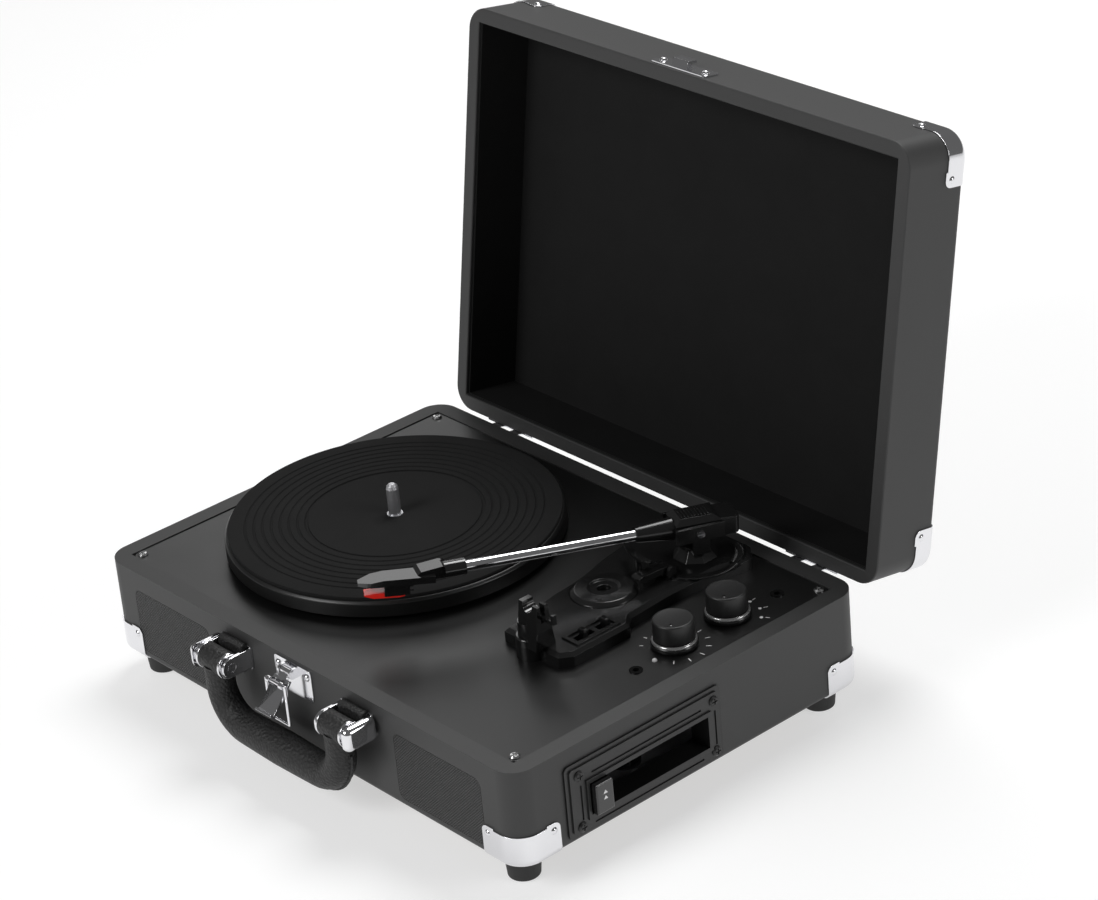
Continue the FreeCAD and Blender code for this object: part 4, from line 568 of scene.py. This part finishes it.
class RECORDPLAYER_OT_handle(bpy.types.Operator):
    """Build the padded grip with its seam and barrels, and finish its brackets"""

    bl_idname = "record_player.handle"
    bl_label = "Carrying handle"

    def execute(self, context):
        sizes = context.scene.record_player_handle
        low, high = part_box("handle_pins")
        grip_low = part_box("handle_grip")[0]
        leg_x = high.x - BRACKET_HALF
        axis_y = (low.y + high.y) / 2
        axis_z = (low.z + high.z) / 2
        bar_z = grip_low.z + GRIP_HALF
        bend = sizes.bend_radius
        route = self.route(leg_x, axis_z - 2 * MM, bar_z, bend)
        stations = []
        for x, z, run in route:
            thick = self.half_thick(sizes, abs(x) / leg_x)
            inward = Vector((-run[1], 0.0, run[0]))
            stations.append(station((x, axis_y, z), inward, (0, 1, 0), thick, thick * 0.94))
        keep(limb(stations), "grip", "handle", "grip_leather", ("handle_grip",), 60.0)
        seam = []
        for x, z, run in route[3:-3]:
            thick = self.half_thick(sizes, abs(x) / leg_x)
            inward = Vector((-run[1], 0.0, run[0]))
            place = Vector((x, axis_y, z)) - inward * (thick - 0.1 * MM)
            seam.append(station(place, inward, (0, 1, 0), 1.3 * MM, 0.9 * MM))
        keep(limb(seam, 12), "grip_seam", "handle", "grip_leather")
        for side in (-1, 1):
            self.barrel(side * leg_x, axis_y, axis_z)
            self.bracket_trim(side, leg_x, axis_y, axis_z)
        soften("handle_brackets", "chrome", 0.45, 3)
        recoat("handle_pins", "chrome")
        return {"FINISHED"}

    def half_thick(self, sizes, along):
        """Half thickness of the grip, from its middle (0) to its legs (1)."""
        share = max(0.0, 1.0 - along) ** 0.5
        return sizes.leg_radius + (sizes.middle_radius - sizes.leg_radius) * share

    def bracket_trim(self, side, x, y, z):
        """Covered pad between a bracket's ears and a polished rounded end on its outer ear."""
        name = "right" if side > 0 else "left"
        half = BRACKET_HALF
        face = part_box("handle_brackets")[1].y
        bm = bmesh.new()
        reach = half - 2.4 * MM
        low = (side * x - reach, y + 8.1 * MM, z - 8.6 * MM)
        high = (side * x + reach, face - 0.6 * MM, z + 8.6 * MM)
        add_block(bm, low, high)
        round_edges(bm, 1.6 * MM, 4)
        keep(bm, "bracket_pad_" + name, "case", "grip_leather")
        bm = bmesh.new()
        near, far = sorted((side * (x + half - 0.1 * MM), side * (x + half + 4.2 * MM)))
        add_block(bm, (near, y - 7.6 * MM, z - 7.2 * MM), (far, face - 0.4 * MM, z + 7.2 * MM))
        outer = [e for e in bm.edges if not all(abs(v.co.x * side - x - half) < 1 * MM for v in e.verts)]
        bevel(bm, outer, 3.9 * MM, 6)
        keep(bm, "bracket_end_" + name, "case", "chrome", (), 50.0)

    def route(self, leg_x, top, bottom, bend):
        """Centre line of the grip: places and directions from one barrel to the other."""
        points = [(-leg_x, top + (bottom + bend - top) * k / 3, (0, -1)) for k in range(3)]
        turns = 10
        for k in range(turns + 1):
            a = math.radians(90) * k / turns
            place = (-leg_x + bend * (1 - math.cos(a)), bottom + bend * (1 - math.sin(a)))
            points.append((*place, (math.sin(a), -math.cos(a))))
        half = leg_x - bend
        points += [(-half + 2 * half * k / 8, bottom, (1, 0)) for k in range(1, 8)]
        mirrored = [(-x, z, (run[0], -run[1])) for x, z, run in reversed(points[:3 + turns + 1])]
        return points + mirrored

    def barrel(self, x, y, z):
        """Wrapped barrel that turns on the pin, with a plated ring at each end."""
        half = 10.5 * MM
        radius = 7.4 * MM
        ring = 1.6 * MM
        ring_radius = radius + 0.25 * MM
        for name, a, b, r, material, slot in (
                ("grip_barrel", -half + ring, half - ring, radius, "grip_leather", "leatherette"),
                ("grip_ring_inner", -half, -half + ring, ring_radius, "chrome", "chrome"),
                ("grip_ring_outer", half - ring, half, ring_radius, "chrome", "chrome")):
            bm = bmesh.new()
            turn = Matrix.Translation((x + (a + b) / 2, y, z)) @ Matrix.Rotation(math.pi / 2, 4, "Y")
            bmesh.ops.create_cone(bm, cap_ends=True, segments=48, radius1=r, radius2=r, depth=b - a,
                                  matrix=turn)
            rim = [e for e in bm.edges if abs(e.verts[0].co.x - e.verts[1].co.x) < 1e-7]
            bevel(bm, rim, 0.4 * MM, 3)
            side = "right" if x > 0 else "left"
            keep(bm, name + "_" + side, "handle", material)


class RECORDPLAYER_OT_latch(bpy.types.Operator):
    """Plate the latch, its bail, the catch and the hinges"""

    bl_idname = "record_player.latch"
    bl_label = "Latch and hinges"

    def execute(self, context):
        for node in ("latch_plate", "latch_lever", "lid_catch", "hinge_base_leaves", "hinge_lid_leaves"):
            soften(node, "chrome", 0.3, 2)
        recoat("latch_bail", "chrome")
        recoat("hinge_pins", "chrome")
        return {"FINISHED"}


class RECORDPLAYER_OT_deck(bpy.types.Operator):
    """Finish the deck plate, sockets, lamp and printed marks"""

    bl_idname = "record_player.deck"
    bl_label = "Deck"

    def execute(self, context):
        soften("deck_plate", "deck_plastic", 0.35, 2)
        recoat("input_jacks", "gloss_plastic")
        recoat("power_led", "lamp_lens")
        self.marks()
        return {"FINISHED"}

    def marks(self):
        """Dots and ticks printed round the two knobs."""
        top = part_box("deck_plate")[1].z + PRINT_LIFT
        volume = centre_of("volume_knob")
        selector = centre_of("function_knob")
        ring = 18.4 * MM
        bm = bmesh.new()
        for angle in (35, 65, 95):
            self.dot(bm, selector, ring, angle, top, 1.0 * MM)
            self.tick(bm, selector, ring + 2.0 * MM, ring + 4.5 * MM, angle, top)
        for k in range(11):
            self.tick(bm, volume, ring - 1.5 * MM, ring + (0.4 + 0.16 * k) * MM, 225 - 27 * k, top)
        keep(bm, "printed_marks", "case", "print_white")

    def dot(self, bm, centre, ring, angle, top, radius):
        a = math.radians(angle)
        place = Matrix.Translation((centre.x + ring * math.cos(a), centre.y + ring * math.sin(a), top))
        bmesh.ops.create_cone(bm, cap_ends=True, segments=20, radius1=radius, radius2=radius,
                              depth=PRINT_T, matrix=place)

    def tick(self, bm, centre, near, far, angle, top):
        turn = Matrix.Translation((centre.x, centre.y, top)) @ Matrix.Rotation(math.radians(angle), 4, "Z")
        add_block(bm, (near, -0.22 * MM, -PRINT_T / 2), (far, 0.22 * MM, PRINT_T / 2), turn)


class RECORDPLAYER_OT_knobs(bpy.types.Operator):
    """Turn the two knobs with their bright rings and dark skirts, and finish the switches"""

    bl_idname = "record_player.knobs"
    bl_label = "Knobs and switches"

    def execute(self, context):
        for node in ("volume_knob", "function_knob"):
            self.knob(node)
        for node in ("speed_slider", "auto_stop_slider"):
            soften(node, "gloss_plastic", 0.3, 2)
        recoat("panel_controls", "steel")
        return {"FINISHED"}

    def knob(self, node):
        low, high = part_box(node)
        middle = centre_of(node)
        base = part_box("deck_plate")[1].z + 0.5 * MM
        tall = high.z - base
        skirt_r = (high.x - low.x) / 2
        r = skirt_r - 1.7 * MM
        foot = 4.6 * MM
        body = [(0.0, tall - 0.35 * MM), (r * 0.55, tall - 0.3 * MM), (r - 1.5 * MM, tall - 0.05 * MM),
                (r - 0.9 * MM, tall), (r - 0.45 * MM, tall - 0.12 * MM), (r - 0.12 * MM, tall - 0.45 * MM),
                (r, tall - 1.0 * MM), (r + 0.25 * MM, foot + 1.2 * MM), (r + 0.1 * MM, foot + 0.5 * MM),
                (r - 0.6 * MM, foot), (r - 0.6 * MM, foot - 1.0 * MM), (0.0, foot - 1.0 * MM)]
        centre = (middle.x, middle.y, base)
        face = satin_metal(node + "_metal", 0.045, 0.36, centre)
        turned(node + "_cap", body, centre, node, face, (node,), 128, 34.0)
        ring = [(r - 0.6 * MM, foot - 1.0 * MM), (r + 0.3 * MM, foot - 0.2 * MM),
                (r + 0.8 * MM, foot - 0.4 * MM), (r + 1.2 * MM, foot - 1.1 * MM),
                (r + 1.2 * MM, foot - 1.7 * MM), (r - 0.6 * MM, foot - 1.7 * MM)]
        bright = satin_metal(node + "_ring_metal", 0.4, 0.16, centre)
        turned(node + "_ring", ring, centre, node, bright, (), 128, 50.0)
        skirt = [(r - 0.6 * MM, foot - 1.7 * MM), (r + 1.3 * MM, foot - 1.7 * MM), (skirt_r, foot - 2.2 * MM),
                 (skirt_r, 0.5 * MM), (skirt_r - 0.4 * MM, 0.0), (0.0, 0.0)]
        turned(node + "_skirt", skirt, centre, node, "arm_plastic", (), 128, 50.0)
        bm = bmesh.new()
        bmesh.ops.create_uvsphere(bm, u_segments=20, v_segments=10, radius=1.2 * MM)
        bmesh.ops.scale(bm, vec=(1, 1, 0.25), verts=bm.verts)
        spot = Vector((middle.x + 4.6 * MM, middle.y - 6.0 * MM, high.z - 0.15 * MM))
        bmesh.ops.translate(bm, vec=spot, verts=bm.verts)
        keep(bm, node + "_dimple", node, "gloss_plastic")


class RECORDPLAYER_OT_platter(bpy.types.Operator):
    """Finish the platter, mat, spindle and drive"""

    bl_idname = "record_player.platter"
    bl_label = "Platter"

    def execute(self, context):
        soften("platter", "deck_plastic", 0.5, 3)
        self.mat()
        recoat("spindle", "steel")
        recoat("platter_bush", "turned_brass")
        recoat("motor_pulley", "turned_brass")
        recoat("drive_belt", "belt_rubber")
        recoat("platter_motor", "steel")
        return {"FINISHED"}

    def mat(self):
        """Mat with shallow ring grooves and a raised edge."""
        low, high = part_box("slip_mat")
        hole = 4.7 * MM
        rim = (high.x - low.x) / 2
        thick = high.z - low.z
        outline = [(hole, 0.0), (hole, thick - 0.3 * MM), (hole + 0.3 * MM, thick - 0.1 * MM)]
        label = 50.0 * MM
        pitch = 5.0 * MM
        outline += [(label - 0.4 * MM, thick - 0.1 * MM), (label, thick - 0.8 * MM),
                    (label + 1.6 * MM, thick - 0.8 * MM), (label + 2.0 * MM, thick)]
        ring = label + pitch
        while ring < rim - 6.0 * MM:
            outline += [(ring, thick), (ring + 0.5 * MM, thick - 0.6 * MM),
                        (ring + 1.3 * MM, thick - 0.6 * MM), (ring + 1.8 * MM, thick)]
            ring += pitch
        outline += [(rim - 1.0 * MM, thick), (rim - 0.3 * MM, thick - 0.2 * MM), (rim, thick - 0.7 * MM),
                    (rim, 0.0), (hole, 0.0)]
        middle = centre_of("slip_mat")
        centre = (middle.x, middle.y, low.z)
        turned("ribbed_mat", outline, centre, "platter", "mat_felt", ("slip_mat",), 160)


class RECORDPLAYER_OT_tonearm(bpy.types.Operator):
    """Finish the tonearm, its plinth, rest, lift and switches"""

    bl_idname = "record_player.tonearm"
    bl_label = "Tonearm"

    def execute(self, context):
        soften("tonearm_plinth", "arm_plastic", 0.4, 2)
        for node in ("pivot_base", "tonearm_yoke", "arm_housing", "arm_collar", "adaptor_45", "lift_bar"):
            soften(node, "arm_plastic", 0.35, 2)
        for node in ("headshell", "arm_rest", "arm_clip", "cue_lever", "cartridge"):
            soften(node, "gloss_plastic", 0.3, 2)
        soften("stylus", "stylus_red", 0.25, 2)
        recoat("arm_tube", "chrome")
        recoat("pivot_screws", "chrome")
        self.plinth_ribs()
        self.housing_ribs()
        return {"FINISHED"}

    def pivot(self):
        joint = next(j for j in frame["joints"] if j["name"] == "tonearm_swing")
        return Vector(joint["pos_m"])

    def plinth_ribs(self):
        """Row of fine ribs on an arc round the arm's pivot."""
        pivot = self.pivot()
        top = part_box("pivot_base")[0].z
        count = 52
        first = -62.0  # degrees
        pitch = 2.5
        bm = bmesh.new()
        for k in range(count):
            angle = math.radians(first + pitch * k)
            turn = Matrix.Translation((pivot.x, pivot.y, top)) @ Matrix.Rotation(angle, 4, "Z")
            near = 21.5 * MM if k > 30 else 24.5 * MM
            add_block(bm, (near, -0.4 * MM, -0.2 * MM), (near + 5.0 * MM, 0.4 * MM, 0.9 * MM), turn)
        round_edges(bm, 0.15 * MM, 1)
        keep(bm, "plinth_ribs", "case", "arm_plastic")

    def housing_ribs(self):
        """Grip ribs across the top of the arm's housing."""
        pivot = self.pivot()
        joint = next(j for j in frame["joints"] if j["name"] == "tonearm_tilt")
        cross = Vector(joint["axis"])
        run = Vector((cross.y, -cross.x, 0.0))
        lean = Matrix.Rotation(math.radians(-ARM_LEAN), 4, cross)
        turn = Matrix((
            (run.x, cross.x, 0, pivot.x), (run.y, cross.y, 0, pivot.y), (0, 0, 1, pivot.z), (0, 0, 0, 1)))
        place = Matrix.Translation(pivot) @ lean @ Matrix.Translation(-pivot) @ turn
        count = 9
        first = -7.6  # millimetres along the arm from its pivot
        pitch = 1.9
        bm = bmesh.new()
        for k in range(count):
            x = (first + pitch * k) * MM
            add_block(bm, (x, -5.2 * MM, 7.8 * MM), (x + 0.9 * MM, 5.2 * MM, 8.5 * MM), place)
        round_edges(bm, 0.15 * MM, 1)
        keep(bm, "housing_ribs", "tonearm", "arm_plastic")


class RECORDPLAYER_OT_cassette(bpy.types.Operator):
    """Finish the cassette bezel, its key and what is behind it"""

    bl_idname = "record_player.cassette"
    bl_label = "Cassette bay"

    def execute(self, context):
        soften("cassette_bezel", "bezel_plastic", 0.35, 2)
        soften("eject_key", "gloss_plastic", 0.4, 3)
        self.key_marks()
        recoat("cassette_chassis", "steel")
        for node in ("supply_hub", "take_up_hub"):
            recoat(node, "arm_plastic")
        return {"FINISHED"}

    def key_marks(self):
        """Two small triangles printed on the key."""
        low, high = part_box("eject_key")
        middle = (low + high) / 2
        face = high.x + PRINT_LIFT
        bm = bmesh.new()
        for lift in (2.4, -1.0):
            corners = ((-1.5, 0.0), (1.5, 0.0), (0.0, 2.2))
            places = [(face, middle.y + y * MM, middle.z + (z + lift) * MM) for y, z in corners]
            bm.faces.new([bm.verts.new(place) for place in places])
        keep(bm, "key_marks", "eject_key", "print_white")


class RECORDPLAYER_OT_sound(bpy.types.Operator):
    """Finish the speakers, the circuit and the rear sockets"""

    bl_idname = "record_player.sound"
    bl_label = "Speakers and sockets"

    def execute(self, context):
        recoat("speaker_grilles", "speaker_cloth")
        recoat("speaker_drivers", "foot_rubber")
        recoat("main_board", "circuit_board")
        soften("rear_panel", "bezel_plastic", 0.3, 2)
        recoat("rear_sockets", "steel")
        return {"FINISHED"}


class RECORDPLAYER_OT_stage(bpy.types.Operator):
    """Set up the pale floor, the soft lights and the camera"""

    bl_idname = "record_player.stage"
    bl_label = "Stage"

    def execute(self, context):
        settings = context.scene.record_player_stage
        self.floor(settings.floor_colour)
        for name, place, size, share in LAMPS:
            self.lamp(name, place, size, settings.key_power * share)
        world = bpy.data.worlds.new("studio")
        world.use_nodes = True
        sky = world.node_tree.nodes["Background"]
        sky.inputs[0].default_value = grey(1.0)
        sky.inputs[1].default_value = WORLD_LIGHT
        context.scene.world = world
        context.scene.view_settings.view_transform = "Standard"
        self.camera(context)
        return {"FINISHED"}

    def floor(self, colour):
        bm = bmesh.new()
        bmesh.ops.create_grid(bm, x_segments=1, y_segments=1, size=6.0)
        mesh = bpy.data.meshes.new("floor")
        bm.to_mesh(mesh)
        bm.free()
        g = Graph("pale_floor")
        tint = g.blend(g.noise(2.0), tuple(c * 0.985 for c in colour[:3]) + (1.0,), tuple(colour))
        mesh.materials.append(g.finish(Base_Color=tint, Roughness=0.8, Specular_IOR_Level=0.1,
                                       Emission_Color=grey(1.0), Emission_Strength=FLOOR_GLOW))
        floor = bpy.data.objects.new("floor", mesh)
        bpy.context.scene.collection.objects.link(floor)
        floor.location = (0, 0, -FLOOR_DROP)

    def lamp(self, name, place, size, power):
        light = bpy.data.lights.new(name, "AREA")
        light.shape = "DISK"
        light.size = size
        light.energy = power
        lamp = bpy.data.objects.new(name, light)
        lamp.location = place
        lamp.rotation_euler = (Vector((0, 0, 0.1)) - Vector(place)).to_track_quat("-Z", "Y").to_euler()
        bpy.context.scene.collection.objects.link(lamp)

    def camera(self, context):
        """Long lens above the front right corner, leaning slightly."""
        around = math.radians(CAMERA_AROUND)
        above = math.radians(CAMERA_ABOVE)
        lean = math.radians(CAMERA_LEAN)
        level = math.cos(above)
        back = Vector((math.sin(around) * level, -math.cos(around) * level, math.sin(above)))
        right = Vector((math.cos(around), math.sin(around), 0.0))
        up = back.cross(right)
        x_axis = right * math.cos(lean) + up * math.sin(lean)
        y_axis = up * math.cos(lean) - right * math.sin(lean)
        lens = bpy.data.cameras.new("camera")
        lens.sensor_width = 36.0
        lens.lens = CAMERA_LENS
        lens.clip_start = 0.05
        camera = bpy.data.objects.new("camera", lens)
        camera.matrix_world = matrix_of((x_axis, y_axis, back, CAMERA_PLACE))
        context.scene.collection.objects.link(camera)
        context.scene.camera = camera


OPERATORS = (
    RECORDPLAYER_OT_case, RECORDPLAYER_OT_corners, RECORDPLAYER_OT_handle, RECORDPLAYER_OT_latch,
    RECORDPLAYER_OT_deck, RECORDPLAYER_OT_knobs, RECORDPLAYER_OT_platter, RECORDPLAYER_OT_tonearm,
    RECORDPLAYER_OT_cassette, RECORDPLAYER_OT_sound, RECORDPLAYER_OT_stage,
)


class RECORDPLAYER_PT_panel(bpy.types.Panel):
    """Lists the steps that build the record player"""

    bl_label = "Record Player"
    bl_idname = "RECORDPLAYER_PT_panel"
    bl_space_type = "VIEW_3D"
    bl_region_type = "UI"
    bl_category = "Record Player"

    def draw(self, context):
        for operator in OPERATORS:
            self.layout.operator(operator.bl_idname)
        for group in SETTINGS:
            settings = getattr(context.scene, group)
            for name in settings.bl_rna.properties.keys():
                if name not in ("rna_type", "name"):
                    self.layout.prop(settings, name)


SETTINGS = {
    "record_player_case": CaseSettings,
    "record_player_handle": HandleSettings,
    "record_player_stage": StageSettings,
}


def register():
    for settings in SETTINGS.values():
        bpy.utils.register_class(settings)
    for name, settings in SETTINGS.items():
        setattr(bpy.types.Scene, name, bpy.props.PointerProperty(type=settings))
    for operator in OPERATORS:
        bpy.utils.register_class(operator)
    bpy.utils.register_class(RECORDPLAYER_PT_panel)


def unregister():
    bpy.utils.unregister_class(RECORDPLAYER_PT_panel)
    for operator in reversed(OPERATORS):
        bpy.utils.unregister_class(operator)
    for name, settings in SETTINGS.items():
        delattr(bpy.types.Scene, name)
        bpy.utils.unregister_class(settings)


def main():
    register()
    for operator in OPERATORS:
        area, name = operator.bl_idname.split(".")
        getattr(getattr(bpy.ops, area), name)()


if __name__ == "__main__":
    main()
